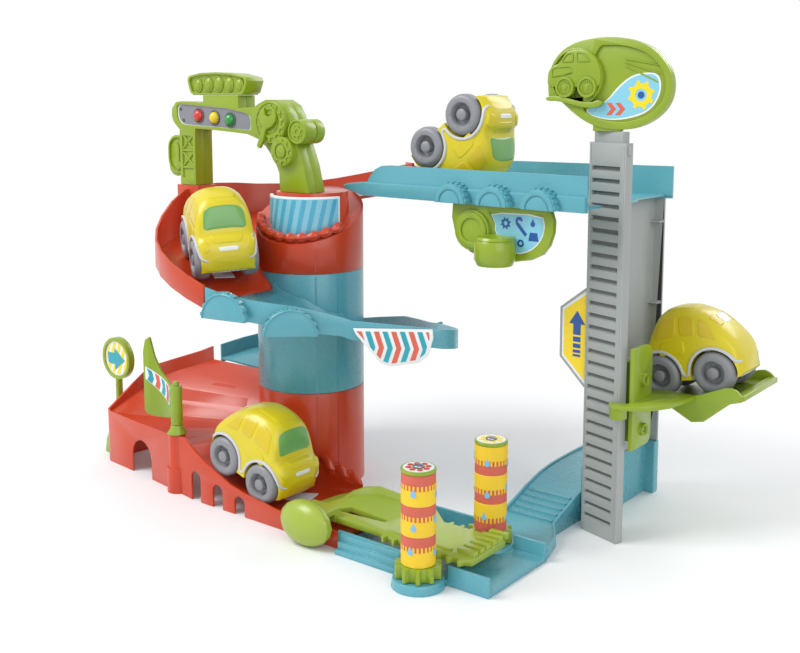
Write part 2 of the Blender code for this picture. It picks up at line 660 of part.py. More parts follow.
def make_tower(grey, teal):
    """Louvred front panel, rear channel and the blue foot."""
    spot = place(*PANEL_CENTRE, 0, TOWER_TURN)
    half = PANEL_WIDTH / 2
    depth = PANEL_DEPTH / 2
    section = [(-half, -depth), (half, -depth), (half, depth), (half - 3, depth), (half - 3, 1.5), (3 - half, 1.5),
               (3 - half, depth), (-half, depth)]
    panel = piece("tower_front_panel", plate([section], 0, PANEL_TOP, spot), grey)
    join(panel, plate([[(-half + 5, -depth + 1), (half - 4, -depth + 1), (half - 4, depth - 1), (-half + 5, depth - 1)]],
                      PANEL_TOP - 2, NECK_TOP, spot))
    build = bmesh.new()
    for i in range(LOUVRES):
        z = 14 + LOUVRE_PITCH * i
        ends = []
        for x in (-half + 3.4, half - 7):
            ends.append([build.verts.new(Vector(p) * MM) for p in
                         ((x, -depth - 1, z), (x, -depth - 1, z + 5), (x, -depth + 4, z + 5), (x, -depth + 4, z + 1.4))])
        for k in range(4):
            m = (k + 1) % 4
            build.faces.new((ends[0][k], ends[0][m], ends[1][m], ends[1][k]))
        build.faces.new(ends[0])
        build.faces.new(ends[1])
    slots = finished(build)
    slots.transform(spot)
    cut(panel, slots)

    web = [(WEB_X - 1.5, WEB_FRONT), (WEB_X + 1.5, WEB_FRONT), (WEB_X + 1.5, WEB_BACK - 3), (WEB_X + 13, WEB_BACK - 3),
           (WEB_X + 13, WEB_BACK), (WEB_X - 1.5, WEB_BACK)]
    channel = piece("tower_channel", plate([web], FOOT_TOP + GAP, BRIDGE_FLOOR - WALL - 2.6 - GAP), grey)
    for z in (120, 205, 290):
        join(channel, block(WEB_X + 1, WEB_X + 12, WEB_BACK - 12, WEB_BACK - 2, z, z + 2))
    join(channel, block(WEB_X + 0.5, WEB_X + 9, WEB_FRONT, WEB_FRONT + 3, FOOT_TOP + GAP, BRIDGE_FLOOR - 20))
    foot = piece("tower_foot", plate([[(303 + GAP, 62), (WEB_X + 2, 62), (WEB_X + 2, 176), (WEB_X + 13, 176), (WEB_X + 13, 187),
                                       (303 + GAP, 187)]], 0, FOOT_TOP), teal)
    cut(foot, block(307, WEB_X - 1, 65, 184, -5, FOOT_TOP - 3))


def ellipse(x, y, rx, ry, sides=32):
    return [(x + rx * math.cos(2 * math.pi * i / sides), y + ry * math.sin(2 * math.pi * i / sides)) for i in range(sides)]


def make_signs(lime, grey, teal, white):
    """Boards on the tower, bridge, column and bowl."""
    depth = place(0, 39) @ UPRIGHT
    x, z = PANEL_CENTRE[0], NECK_TOP + 43
    rim = [(-63, 15), (-58, 23), (-48, 32), (-37, 38), (-24, 40), (-9, 42), (2, 42.3), (12, 41), (28, 37), (39, 32), (49, 23),
           (57, 13), (61, -1), (59, -13), (54, -23), (44, -32), (31, -38), (20, -41), (5, -41), (-11, -39), (-24, -34),
           (-35, -26), (-44, -19), (-51, -12), (-61, -12), (-63, -6), (-62, 5)]
    sign = piece("top_sign", plate([[(x + px, z + pz) for px, pz in rim]], -5, 5, depth), lime)
    join(sign, block(x - 16, x + 12, 35.4, 42.2, NECK_TOP + GAP, z - 37))
    inner = [(2 + px * 0.87, pz * 0.83) for px, pz in rim[5:24]]
    cut(sign, plate([[(x + px, z + pz) for px, pz in inner]], 2.6, 8, depth))
    join(sign, plate([circle(x - 33, z + 6, 27, 24)], 1, 5.6, depth))
    join(sign, plate([car_outline(x - 33, z - 8, -0.6, 0.72)], 4, 8.4, depth))
    shelf = [(-61, -15), (-52, -12.5), (-40, -14.5), (-26, -20), (-12, -20), (-6, -15), (-8, -22), (-20, -27), (-36, -22), (-50, -19)]
    join(sign, plate([[(x + px, z + pz) for px, pz in shelf]], 4, 9, depth))

    board = place(0, 11) @ UPRIGHT
    top = BRIDGE_FLOOR - WALL - 2.6 - GAP
    outline = [(184, top), (183, 301), (186, 289), (193, 277), (205, 268), (218, 264), (257, 263), (274, 266), (286, 272),
               (293, 281), (297, 293), (297.5, 304), (294, top)]
    bridge_sign = piece("bridge_sign", plate([outline], -3, 3, board), lime)
    join(bridge_sign, plate([circle(209, 290, 20, 20)], 2, 7, board))
    cut(bridge_sign, plate([[(226, 309), (286, 310), (289, 299), (286, 287), (278, 277), (267, 271), (256, 269), (252, 279),
                             (244, 285), (232, 288), (232, 299)]], 1.4, 8, board))
    join(bridge_sign, turned([(0, 284), (9, 284), (11, 287), (17, 286.5), (20, 281), (20, 266), (17, 260), (0, 260)],
                             18, False, place(243, -6)))
    cut(bridge_sign, block(220, 266, 14.2, 30, 250, 300))

    edge = PANEL_CENTRE[0] - PANEL_WIDTH / 2 * math.cos(TOWER_TURN) - GAP - 0.4
    arrow = [(edge - 30, 168), (edge - 3, 141), (edge, 141), (edge, 238), (edge - 3, 238), (edge - 30, 217)]
    piece("arrow_sign", plate([arrow], -1.5, 1.5, place(0, 50) @ UPRIGHT), grey)

    panel = []
    for turn in [math.radians(214 + 138 * i / 14) for i in range(15)]:
        ring = []
        for radius, height in ((COLLAR_RADIUS + 1.6, 0), (COLLAR_RADIUS + 5, 0), (COLLAR_RADIUS + 5, 1), (COLLAR_RADIUS + 1.6, 1)):
            px, py = COLLAR_X + radius * math.cos(turn), radius * math.sin(turn)
            ring.append((px, py, 314.5 if height else top_plane(px, py) + GAP))
        panel.append(ring)
    piece("column_sign", loft(panel), white)

    facing = math.atan2(36, 71)
    out = GAP + 0.1
    shape = [(1, 196), (79, 198), (80, 190), (75, 172), (66, 165), (38, 160), (28, 163), (4, 190)]
    piece("bowl_sign", plate([shape], out, out + 3, place(126, -77, 0, facing) @ UPRIGHT), white)


def car_outline(x, z, along, up):
    """Side outline of a small round car, scaled apart in length and height; a negative length turns it round."""
    points = [(-44, 0), (44, 0), (46, 14), (40, 26), (24, 32), (12, 50), (-14, 54), (-34, 42), (-44, 22)]
    return [(x + px * along, z + pz * up - 10) for px, pz in points]


def gantry_outline():
    """Front outline of the gantry: post, beam and the arm that curves down to the column."""
    low, high = BEAM_LOW, BEAM_HIGH
    arm_outer = [(-52, high - 6), (-44, high - 2), (-34, high + 2), (-18, high + 2), (-6, high - 4), (1, high - 14), (5, 382),
                 (12, 366), (20, 346), (27, GANTRY_FOOT)]
    arm_inner = [(-14, GANTRY_FOOT), (-15, 338), (-22, 352), (-34, 365), (-46, 373), (-62, 378)]
    post = [(-108, low - 3), (POST_RIGHT + 1, low - 1.6), (POST_RIGHT, low - 6), (POST_RIGHT, GANTRY_FOOT), (POST_LEFT, GANTRY_FOOT),
            (POST_LEFT, low - 3)]
    beam = [(BEAM_LEFT + 8, low + 1), (BEAM_LEFT + 2, low + 7), (BEAM_LEFT, low + 14), (BEAM_LEFT + 1, high - 8),
            (BEAM_LEFT + 8, high - 1), (BEAM_LEFT + 16, high), (-148, high - 0.6), (-132, high - 2)]
    neck = [(-132, BAR_LOW - GAP), (-76, BAR_LOW - GAP), (-76, high - 7)]
    return arm_outer + arm_inner + post + beam + neck


def make_gantry(lime, lamps):
    half = GANTRY_DEPTH / 2
    centre = place(0, GANTRY_Y) @ UPRIGHT
    front = piece("gantry_front_shell", plate([gantry_outline()], GAP / 2, half, centre), lime)
    discs = ((-22, 391, 22, 24, 5), (16, 382, 13, 18, 4), (-5, 361, 15.5, 20, 6.5))
    join(front, *[plate([circle(x, z, radius, sides)], half - 1 if x < 10 else GAP / 2 + 0.8, half + out, centre)
                  for x, z, radius, sides, out in discs])
    panel = [(BEAM_LEFT + 9, LAMP_AXIS + 11), (BEAM_LEFT + 9, LAMP_AXIS), (BEAM_LEFT + 13, LAMP_AXIS - 7), (BEAM_LEFT + 20, LAMP_AXIS - 9.6),
             (-57, LAMP_AXIS - 14), (-57, LAMP_AXIS), (-62, LAMP_AXIS + 4), (-97, LAMP_AXIS + 10), (BEAM_LEFT + 14, LAMP_AXIS + 14)]
    cut(front, plate([panel], half - 2, half + 9, centre),
        block(POST_LEFT + 4, POST_RIGHT - 4, -40, -29, GANTRY_FOOT + 8, BEAM_LOW - 10))
    rear = piece("gantry_rear_shell", plate([gantry_outline()], -half, -GAP / 2, centre), lime)
    join(rear, plate([circle(16, 382, 13, 18)], 0.8 - half, -GAP / 2 - 0.8, centre))
    cut(rear, block(POST_LEFT + 4, POST_RIGHT - 4, GANTRY_Y + half - 3, GANTRY_Y + half + 5, GANTRY_FOOT + 8, BEAM_LOW - 10))

    face = [(-152, BAR_LOW + 3.5), (-148, BAR_LOW), (-70, BAR_LOW), (-65, BAR_LOW + 3), (-60, BAR_LOW + 15), (-62, BAR_LOW + 19),
            (-84, BAR_LOW + 23.5), (-110, BAR_LOW + 25), (-136, BAR_LOW + 24.5), (-154, BAR_LOW + 21.5), (-157, BAR_LOW + 17)]
    bar = piece("light_bar", plate([face], -half + 2, half, centre), lime)
    rim = [(-110 + (x + 110) * 0.93, BAR_LOW + 12 + (z - BAR_LOW - 12) * 0.84) for x, z in face]
    cut(bar, plate([rim], half - 1.5, half + 4, centre))
    for i in range(5):
        wide = 6.6 if i in (1, 2, 3) else 5.6
        join(bar, ball(-140 + 16.5 * i, GANTRY_Y - half + 1.5, BAR_LOW + 12 - 0.7 * abs(i - 2), wide, 3.4, wide + 1.6, 12, 7))
    left = POST_LEFT - 0.4
    paddle = piece("arrow_paddle", plate([[(left, 330), (left, 372), (left - 6, 374)] + arc(left - 17, 361, 13, 70, 180, 4)
                                          + arc(left - 17, 339, 13, 180, 300, 4)], -4, 4, centre), lime)
    join(paddle, plate([[(left - 20, 341), (left - 13, 331), (left - 5, 341), (left - 10, 343), (left - 10, 360), (left - 13, 366),
                         (left - 16, 360), (left - 16, 343)]], 3, 6, centre))
    for name, x, rgb in lamps:
        piece(f"lamp_{name}", turned([(0, 4.5), (3.6, 3.8), (6.2, 1.6), (7, -1.5), (0, -1.5)], 12, False,
                                     place(x, GANTRY_Y - half + 2 - 1.5 - GAP, LAMP_AXIS + 1 + 0.08 * (-141 - x)) @ UPRIGHT),
              paint(f"lamp {name}", rgb, 0.15))


def make_posts(lime):
    """Round direction sign at the left and the barrier gate on the front post."""
    x, y = -236, -80
    sign = piece("round_sign", ball(-236.3, y, 0, 20.5, 17, 36, 14, 8), lime)
    cut(sign, block(-270, -200, -110, -50, -50, 0))
    join(sign, rod(x, y, 20, 92, 5, 10, 4))
    join(sign, plate([circle(x, 112, 25, 28)], -4, 4, place(0, y) @ UPRIGHT))
    cut(sign, plate([circle(x, 112, 21, 24)], 2, 9, place(0, y) @ UPRIGHT))

    px, py = -77, -128
    post = piece("gate_post", turned([(0, 68), (3.2, 67.6), (3.2, 12), (0, 12)], 12, False, place(px, py, 52)), lime)
    join(post, turned([(0, 21), (6.3, 21), (7.5, 16), (10.5, 12.5), (10.5, 11.3), (0, 11.3)], 14, False, place(px, py, 52)))
    gate = piece("gate_barrier", turned([(6.3, 115), (6.3, 73.4), (3.6, 73.4), (3.6, 115)], 14, True, place(px, py)), lime)
    rings = []
    shape = ((0.0, 80, 108), (0.18, 77, 112), (0.4, 74, 117), (0.6, 73, 124), (0.76, 73, 140), (0.86, 74, 161), (0.95, 76, 158),
             (1.0, 80, 144))
    for share, low, high in shape:
        gx = px - 5.4 - 46 * share
        gy = py + 9 * math.sin(math.pi * share)
        rings.append([(gx, gy - 1.3, low), (gx, gy - 1.3, high), (gx, gy + 1.3, high), (gx, gy + 1.3, low)])
    join(gate, loft(rings))


def make_lift(lime, steel):
    """Carriage on the tower's edge, its screws and the car tray."""
    middle = SHELF_TOP + 1
    side = place(CARRIAGE_X, 58, middle, math.radians(90)) @ UPRIGHT
    plate_outline = [(-20, -48)] + arc(12, -40, 8, -90, 0, 3) + arc(8, 37, 12, 0, 90, 3) + [(-20, 49)]
    carriage = piece("lift_carriage", plate([plate_outline], -2, 2, side), lime)
    x = CARRIAGE_X
    shelf = [(x - 16, 25), (x - 10, 18.5), (x + 2, 19.5), (x + 20, 31), (x + 32, 52), (x + 36, 76), (x + 38, TRAY_FRONT - GAP),
             (x - 0.4, TRAY_FRONT - GAP), (x - 0.4, 32), (x - 13, 29.6)]
    join(carriage, plate([shelf], SHELF_TOP - 4, SHELF_TOP))
    join(carriage, plate([[(x - 15.4, 25), (x - 9.8, 19.2), (x - 1, 20.6), (x + 0.4, 29.9), (x - 12.6, 29)]],
                         SHELF_TOP - 14, SHELF_TOP - 1))
    join(carriage, block(x - 21, x - 0.8, 60, 70, SHELF_TOP - 46, SHELF_TOP + 32))
    screws = []
    for name, z in (("upper", SHELF_TOP + 18), ("lower", SHELF_TOP - 30)):
        boss = turned([(6, 4), (6, 0), (3.4, 0), (3.4, 4)], 12, True, place(x + 1.5, 58, z, math.radians(90), "Y"))
        join(carriage, boss)
        screws.append(piece(f"lift_screw_{name}", turned([(0, 2.6), (2.2, 2.2), (2.9, GAP), (0, GAP)], 10, False,
                                                         place(x + 2, 58, z, math.radians(90), "Y")), steel))
    sections = []
    for x in (TRAY_LEFT, 372, TRAY_RIGHT):
        level = TRAY_FLOOR + TRAY_SLOPE * (x - TRAY_LEFT)
        sections.append(((x, TRAY_BACK), (x, TRAY_FRONT), level, 0.6, 0.6, 4, 4))
    tray = road("lift_tray", sections, lime)
    wall = [(372, 126), (401, 111.5), (413, 114), (438, 135.5), (TRAY_RIGHT, 139), (TRAY_RIGHT, 144), (444, 149), (439, 150.7),
            (432, 149.6), (408, 139), (402, SHELF_TOP - 0.4), (372, SHELF_TOP - 0.4)]
    for y in (TRAY_FRONT, TRAY_BACK - WALL):
        join(tray, plate([wall], 0, WALL, place(0, y + WALL) @ UPRIGHT))
    join(tray, block(TRAY_RIGHT - 6, TRAY_RIGHT + 2, TRAY_FRONT + 0.8, TRAY_BACK - 0.8, 140, 144.8))


def car_body_rings():
    """Arches across the car from tail to nose, from shares of its length, width and height."""
    shape = ((-0.5, 0.64, 4, 0.36, 0.45), (-0.47, 0.86, 1, 0.43, 0.58), (-0.4, 0.97, 0, 0.52, 0.76),
             (-0.28, 1, 0, 0.59, 0.91), (-0.12, 1, 0, 0.62, 0.99), (0.04, 1, 0, 0.62, 1), (0.15, 1, 0, 0.6, 0.94),
             (0.22, 1, 0, 0.56, 0.8), (0.29, 1, 0, 0.52, 0.63), (0.4, 0.95, 0, 0.48, 0.57), (0.47, 0.83, 1, 0.41, 0.49),
             (0.5, 0.64, 4, 0.34, 0.41))
    rings = []
    for along, wide, lift, low, high in shape:
        x, half, sill = along * CAR_LENGTH, wide * CAR_WIDTH / 2, SILL + lift
        shoulder, roof = low * CAR_HEIGHT, high * CAR_HEIGHT
        rings.append([(x, -half, sill), (x, -half, shoulder), (x, -half * 0.86, (shoulder + roof) / 2),
                      (x, -half * 0.6, roof - 1), (x, 0, roof), (x, half * 0.6, roof - 1),
                      (x, half * 0.86, (shoulder + roof) / 2), (x, half, shoulder), (x, half, sill)])
    return rings


def make_car(number, matrix, yellow, chassis_paint, tyre):
    """One toy car: shell, chassis and two wheel sets."""
    rings = car_body_rings()
    inside = []
    for ring in rings:
        x = ring[0][0] * 0.95
        inside.append([(x, y * 0.9, 5.0 if i in (0, 8) else z - 2.6) for i, (_, y, z) in enumerate(ring)])
    shell = piece(f"car_{number}_shell", loft(rings), yellow)
    tools = [loft(inside)]
    for x in (-HALF_BASE, HALF_BASE):
        reach = WHEEL_RADIUS + ARCH_GAP
        tools.append(turned([(0, TRACK), (reach, TRACK), (reach, -TRACK), (0, -TRACK)], WHEEL_SIDES, False,
                            place(x, 0, WHEEL_RADIUS) @ UPRIGHT))
    cut(shell, *tools)
    hub = AXLE_RADIUS + GAP
    low = SILL - 2
    notch = []
    for x in (HALF_BASE, -HALF_BASE):
        notch += [(x + hub, low)] + arc(x, WHEEL_RADIUS, hub, 0, 180, 6) + [(x - hub, low)]
    end = CAR_LENGTH / 2 - 7
    outline = [(-end, low), (-end, low + 7), (2 - HALF_BASE, WHEEL_RADIUS + 9), (HALF_BASE - 2, WHEEL_RADIUS + 9), (end, low + 9),
               (end, low)] + notch
    spine = TRACK / 2 - WHEEL_WIDTH - 4
    chassis = piece(f"car_{number}_chassis", plate([outline], -spine, spine, UPRIGHT), chassis_paint)
    clip = CAR_WIDTH / 2 * 0.9 - GAP
    join(chassis, block(-5, 5, -clip, clip, SILL - 0.5, SILL + 4.5))
    for x, far in ((-HALF_BASE, "rear"), (HALF_BASE, "front")):
        outer = TRACK / 2
        inner = outer - WHEEL_WIDTH
        half_side = [(0, outer), (5.2, outer - 0.6), (5.4, outer - 3.5), (WHEEL_RADIUS - 7.5, outer - 3.5),
                     (WHEEL_RADIUS - 6.5, outer), (WHEEL_RADIUS - 2, outer), (WHEEL_RADIUS, outer - 2.2),
                     (WHEEL_RADIUS, inner), (AXLE_RADIUS, inner)]
        profile = half_side + [(r, -y) for r, y in reversed(half_side)]
        wheels = piece(f"car_{number}_{far}_wheels", turned(profile, WHEEL_SIDES, False, place(x, 0, WHEEL_RADIUS) @ UPRIGHT), tyre)
        wheels.data.transform(matrix)
        centre = matrix @ Vector((x * MM, 0, WHEEL_RADIUS * MM))
        wheels.data.transform(Matrix.Translation(-centre))
        wheels.location = centre
    for body in (shell, chassis):
        body.data.transform(matrix)
    for tool in CUTTERS.objects:
        if tool.name.startswith(f"car_{number}_"):
            tool.data.transform(matrix)


def car_places():
    """Where each car stands: turned to its road, tipped to its slope, then moved."""
    def at(x, y, z, heading, pitch, roll=0.0):
        return (place(x, y, z, math.radians(heading)) @ Matrix.Rotation(math.radians(pitch), 4, "Y")
                @ Matrix.Rotation(math.radians(roll), 4, "X"))
    tray_middle = TRAY_FLOOR + TRAY_SLOPE * (392 - TRAY_LEFT) + GAP
    return (at(-48, -89.5, 243.2, -31, 15.6, 3), at(18, -102, 26.1, 0, 19.5),
            at(392, 141, tray_middle, 180, math.degrees(math.atan(TRAY_SLOPE))),
            at(146, 58, BRIDGE_FLOOR + 80.7, 0, -37) @ Matrix.Rotation(math.pi, 4, "X"))


def build():
    red, teal, lime = paint("red", RED), paint("teal", TEAL), paint("lime", LIME, 0.28)
    grey, steel = paint("grey", GREY), paint("steel", STEEL, 0.3, 0.9)
    white = paint("sticker", (225, 235, 238), 0.25)
    coral = paint("coral", (200, 100, 85), 0.4)
    make_column(red, teal)
    make_top_loop(red)
    make_spiral(teal)
    make_back_ramp(teal)
    make_base_ramp(red)
    make_lane(teal)
    make_hump(teal)
    make_rollers(lime, coral, steel)
    make_slider(paint("pale lime", PALE_LIME, 0.3))
    make_bridge(teal)
    make_tower(grey, teal)
    make_signs(lime, grey, teal, white)
    make_gantry(lime, (("red", -141, (214, 60, 45)), ("yellow", -115, (228, 205, 30)), ("green", -90, (40, 150, 70))))
    make_posts(lime)
    make_lift(lime, steel)
    yellow, pale, tyre = paint("car yellow", YELLOW, 0.3), paint("chassis grey", CHASSIS), paint("tyre grey", TYRE, 0.5)
    for number, matrix in enumerate(car_places(), 1):
        make_car(number, matrix, yellow, pale, tyre)


clear_scene()
PARTS = bpy.data.collections.new("toy_garage")
CUTTERS = bpy.data.collections.new("toy_garage_cutters")
bpy.context.scene.collection.children.link(PARTS)
bpy.context.scene.collection.children.link(CUTTERS)
build()
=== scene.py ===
# The look of a toy parking garage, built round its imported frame. Lengths are in mm; mm makes them metres.

import json
from math import atan, atan2, cos, degrees, hypot, pi, radians, sin

import bmesh
import bpy
from mathutils import Matrix, Vector
from mathutils.bvhtree import BVHTree


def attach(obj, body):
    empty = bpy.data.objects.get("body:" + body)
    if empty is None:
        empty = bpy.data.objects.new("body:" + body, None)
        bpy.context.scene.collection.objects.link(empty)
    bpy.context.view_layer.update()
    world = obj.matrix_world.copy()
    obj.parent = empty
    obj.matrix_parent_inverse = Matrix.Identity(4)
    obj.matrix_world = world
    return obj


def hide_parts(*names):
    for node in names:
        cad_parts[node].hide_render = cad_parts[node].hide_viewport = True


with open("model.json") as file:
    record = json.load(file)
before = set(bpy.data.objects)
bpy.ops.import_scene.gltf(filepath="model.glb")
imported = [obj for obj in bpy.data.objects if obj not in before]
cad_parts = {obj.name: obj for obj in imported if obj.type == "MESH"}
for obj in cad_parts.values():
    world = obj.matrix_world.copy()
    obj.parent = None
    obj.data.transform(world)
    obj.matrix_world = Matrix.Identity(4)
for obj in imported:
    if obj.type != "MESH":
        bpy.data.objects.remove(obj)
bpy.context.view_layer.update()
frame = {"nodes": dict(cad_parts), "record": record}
nodes = frame["nodes"]
bodyOf = {node: body for body, members in frame["record"]["behaviour"]["bodies"].items() for node in members}
mm = 0.001
upright = Matrix.Rotation(radians(90), 4, "X")    # lays an outline's height along Z


# shader helpers

class wire:
    # a node socket that takes part in sums, on either side of the sign
    def __init__(self, finish, socket):
        self.finish, self.socket = finish, socket

    def joins(operation, swapped=False):
        def join(self, other):
            first, second = (other, self) if swapped else (self, other)
            return self.finish.node("ShaderNodeMath", {"operation": operation}, {0: first, 1: second})
        return join

    __add__, __radd__ = joins("ADD"), joins("ADD", True)
    __sub__, __rsub__ = joins("SUBTRACT"), joins("SUBTRACT", True)
    __mul__, __rmul__ = joins("MULTIPLY"), joins("MULTIPLY", True)
    __truediv__, __rtruediv__ = joins("DIVIDE"), joins("DIVIDE", True)


class finish:
    # one material or world, with the nodes that feed its shader
    def __init__(self, owner, shader="Principled BSDF"):
        owner.use_nodes = True
        self.owner, self.tree = owner, owner.node_tree
        self.shader = self.tree.nodes[shader]

    def feed(self, socket, value):
        if isinstance(value, wire):
            self.tree.links.new(value.socket, socket)
        else:
            socket.default_value = value

    def node(self, kind, settings=None, inputs=None, output=0):
        made = self.tree.nodes.new(kind)
        for key, value in (settings or {}).items():
            setattr(made, key, value)
        for key, value in (inputs or {}).items():
            self.feed(made.inputs[key], value)
        return wire(self, made.outputs[output])

    def set(self, **values):
        for key, value in values.items():
            self.feed(self.shader.inputs[key.replace("_", " ")], value)

    def place(self):
        return self.node("ShaderNodeTexCoord", output="Object")

    def noise(self, vector, scale, detail=3.0, rough=0.55):
        inputs = {"Vector": vector, "Scale": scale, "Detail": detail, "Roughness": rough}
        return self.node("ShaderNodeTexNoise", {}, inputs)

    def blend(self, share, first, second):
        return self.node("ShaderNodeMix", {"data_type": "RGBA"}, {0: share, 6: first, 7: second}, 2)

    def bump(self, height, strength, distance):
        return self.node("ShaderNodeBump", {}, {"Height": height, "Strength": strength, "Distance": distance})


def shade(r, g, b):
    # picture colour to linear colour
    def one(c):
        c = c / 255
        return c / 12.92 if c <= 0.04045 else ((c + 0.055) / 1.055) ** 2.4
    return (one(r), one(g), one(b), 1.0)


# finishes

# each plastic's colour, its deeper tint and its roughness
plasticLook = {
    "red": ((202, 64, 26), (184, 54, 20), 0.3),
    "teal": ((94, 168, 182), (78, 152, 168), 0.28),
    "lime": ((144, 168, 34), (128, 153, 28), 0.3),
    "paleLime": ((162, 182, 62), (148, 168, 54), 0.32),
    "grey": ((164, 169, 167), (152, 157, 156), 0.38),
    "carYellow": ((218, 204, 22), (206, 186, 20), 0.3),
    "windowYellow": ((214, 190, 30), (202, 176, 26), 0.3),
    "chassisGrey": ((204, 206, 211), (190, 193, 198), 0.42),
    "tyreGrey": ((140, 142, 147), (126, 128, 133), 0.5),
    "recessGrey": ((98, 100, 104), (86, 88, 92), 0.6),
    "windscreen": ((112, 170, 90), (98, 156, 78), 0.2),
    "white": ((236, 240, 241), (226, 231, 233), 0.3),
    "panelGrey": ((140, 141, 150), (112, 113, 122), 0.35),
    # painted shade: the grey of the shaded backs of the louvre slots, used only for the strips laid in them
    "louvrePaintedShade": ((112, 115, 115), (98, 101, 101), 0.6),
    "navy": ((26, 84, 160), (20, 74, 146), 0.3),
    "skyBlue": ((140, 205, 226), (122, 192, 216), 0.28),
    "stickerBlue": ((84, 176, 208), (72, 164, 198), 0.28),
    "stickerTeal": ((28, 162, 178), (22, 150, 168), 0.28),
    "stickerCoral": ((218, 98, 78), (208, 88, 68), 0.28),
    "stickerYellow": ((248, 218, 28), (242, 208, 24), 0.28),
    "brushCoral": ((214, 104, 84), (190, 86, 70), 0.75),
    "brushYellow": ((244, 206, 44), (226, 186, 34), 0.75),
    "brushBlue": ((140, 192, 226), (120, 172, 214), 0.7),
    "petalRed": ((214, 72, 56), (200, 60, 46), 0.3),
    "lampRed": ((220, 52, 40), (190, 36, 28), 0.12),
    "lampYellow": ((236, 210, 30), (216, 186, 24), 0.12),
    "lampGreen": ((44, 158, 74), (32, 136, 60), 0.12),
}
surfaceLook = dict(cloud=16.0, cloudTint=0.9, scuff=130.0, scuffTint=0.25, tintBase=0.15, grain=850.0,
                   scuffRough=0.12, grainRough=0.06, bump=0.12, depth=0.0002, coat=0.18, coatRough=0.16)
steelLook = dict(colour=(176, 178, 182), deeper=(140, 142, 148), streak=600.0, rough=0.22, streakRough=0.2,
                 bump=0.1, depth=0.0001)


def mouldedPlastic(name, colour, deeper, rough):
    look = surfaceLook
    made = finish(bpy.data.materials.new(name))
    place = made.place()
    cloud = made.noise(place, look["cloud"])
    grain = made.noise(place, look["grain"], 2.0)
    scuff = made.noise(place, look["scuff"], 4.0, 0.7)
    tint = cloud * look["cloudTint"] + scuff * look["scuffTint"] - look["tintBase"]
    smoothest = rough - (look["scuffRough"] + look["grainRough"]) / 2
    made.set(Base_Color=made.blend(tint, shade(*colour), shade(*deeper)),
             Roughness=scuff * look["scuffRough"] + grain * look["grainRough"] + smoothest,
             Normal=made.bump(grain, look["bump"], look["depth"]),
             Coat_Weight=look["coat"], Coat_Roughness=look["coatRough"])
    return made.owner


def steelFinish():
    look = steelLook
    made = finish(bpy.data.materials.new("screwSteel"))
    streak = made.noise(made.place(), look["streak"])
    made.set(Base_Color=made.blend(streak, shade(*look["colour"]), shade(*look["deeper"])),
             Roughness=streak * look["streakRough"] + look["rough"], Metallic=1.0,
             Normal=made.bump(streak, look["bump"], look["depth"]))
    return made.owner


paints = {name: mouldedPlastic(name, *look) for name, look in plasticLook.items()}
paints["steel"] = steelFinish()
print("finishes made:", len(paints))


# mesh helpers

def meshOf(build, name):
    mesh = bpy.data.meshes.new(name)
    build.to_mesh(mesh)
    build.free()
    return mesh


def settled(holder, name):
    # what an object looks like with its modifiers, as a plain mesh; the holder goes
    bpy.context.view_layer.update()
    mesh = bpy.data.meshes.new_from_object(holder.evaluated_get(bpy.context.evaluated_depsgraph_get()))
    mesh.name = name
    bpy.data.objects.remove(holder)
    return mesh


def holderOf(data, name="holder"):
    holder = bpy.data.objects.new(name, data)
    bpy.context.scene.collection.objects.link(holder)
    return holder


def addPiece(name, mesh, paint, body="garage", smooth=30, replaces=()):
    # a finished piece that rides on a body
    made = holderOf(mesh, name)
    mesh.materials.append(paints[paint])
    if smooth:
        mesh.shade_smooth()
        mesh.set_sharp_from_angle(angle=radians(smooth))
    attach(made, body)
    if replaces:
        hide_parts(*replaces)


def flatPlate(outlines, low, high, matrix=Matrix(), edge=0.0, segments=2):
    # a flat outline, with any holes after it, from low to high in mm, with a rounded edge
    lean = Matrix.Rotation(0.37, 4, "Z")
    curve = bpy.data.curves.new("outline", "CURVE")
    curve.dimensions = "2D"
    curve.fill_mode = "BOTH"
    curve.extrude = (high - low) / 2 * mm
    for outline in outlines:
        spline = curve.splines.new("POLY")
        spline.points.add(len(outline) - 1)
        spline.use_cyclic_u = True
        for point, (x, y) in zip(spline.points, outline):
            point.co = (*(lean @ Vector((x * mm, y * mm, 0))), 1)
    mesh = settled(holderOf(curve), "plate")
    build = bmesh.new()
    build.from_mesh(mesh)
    bmesh.ops.remove_doubles(build, verts=build.verts, dist=0.00002)
    bmesh.ops.recalc_face_normals(build, faces=build.faces)
    bmesh.ops.dissolve_limit(build, angle_limit=radians(0.5), verts=build.verts, edges=build.edges)
    mesh = meshOf(build, "plate")
    mesh.transform(matrix @ Matrix.Translation((0, 0, (high + low) / 2 * mm)) @ lean.inverted())
    return roundedMesh(mesh, edge, segments) if edge else mesh


def roundedMesh(mesh, width, segments=2, angle=40):
    # the mesh with its sharp edges rounded, width in mm
    holder = holderOf(mesh)
    bevel = holder.modifiers.new("Bevel", "BEVEL")
    bevel.width = width * mm
    bevel.segments = segments
    bevel.limit_method = "ANGLE"
    bevel.angle_limit = radians(angle)
    bevel.use_clamp_overlap = True
    return settled(holder, "rounded")


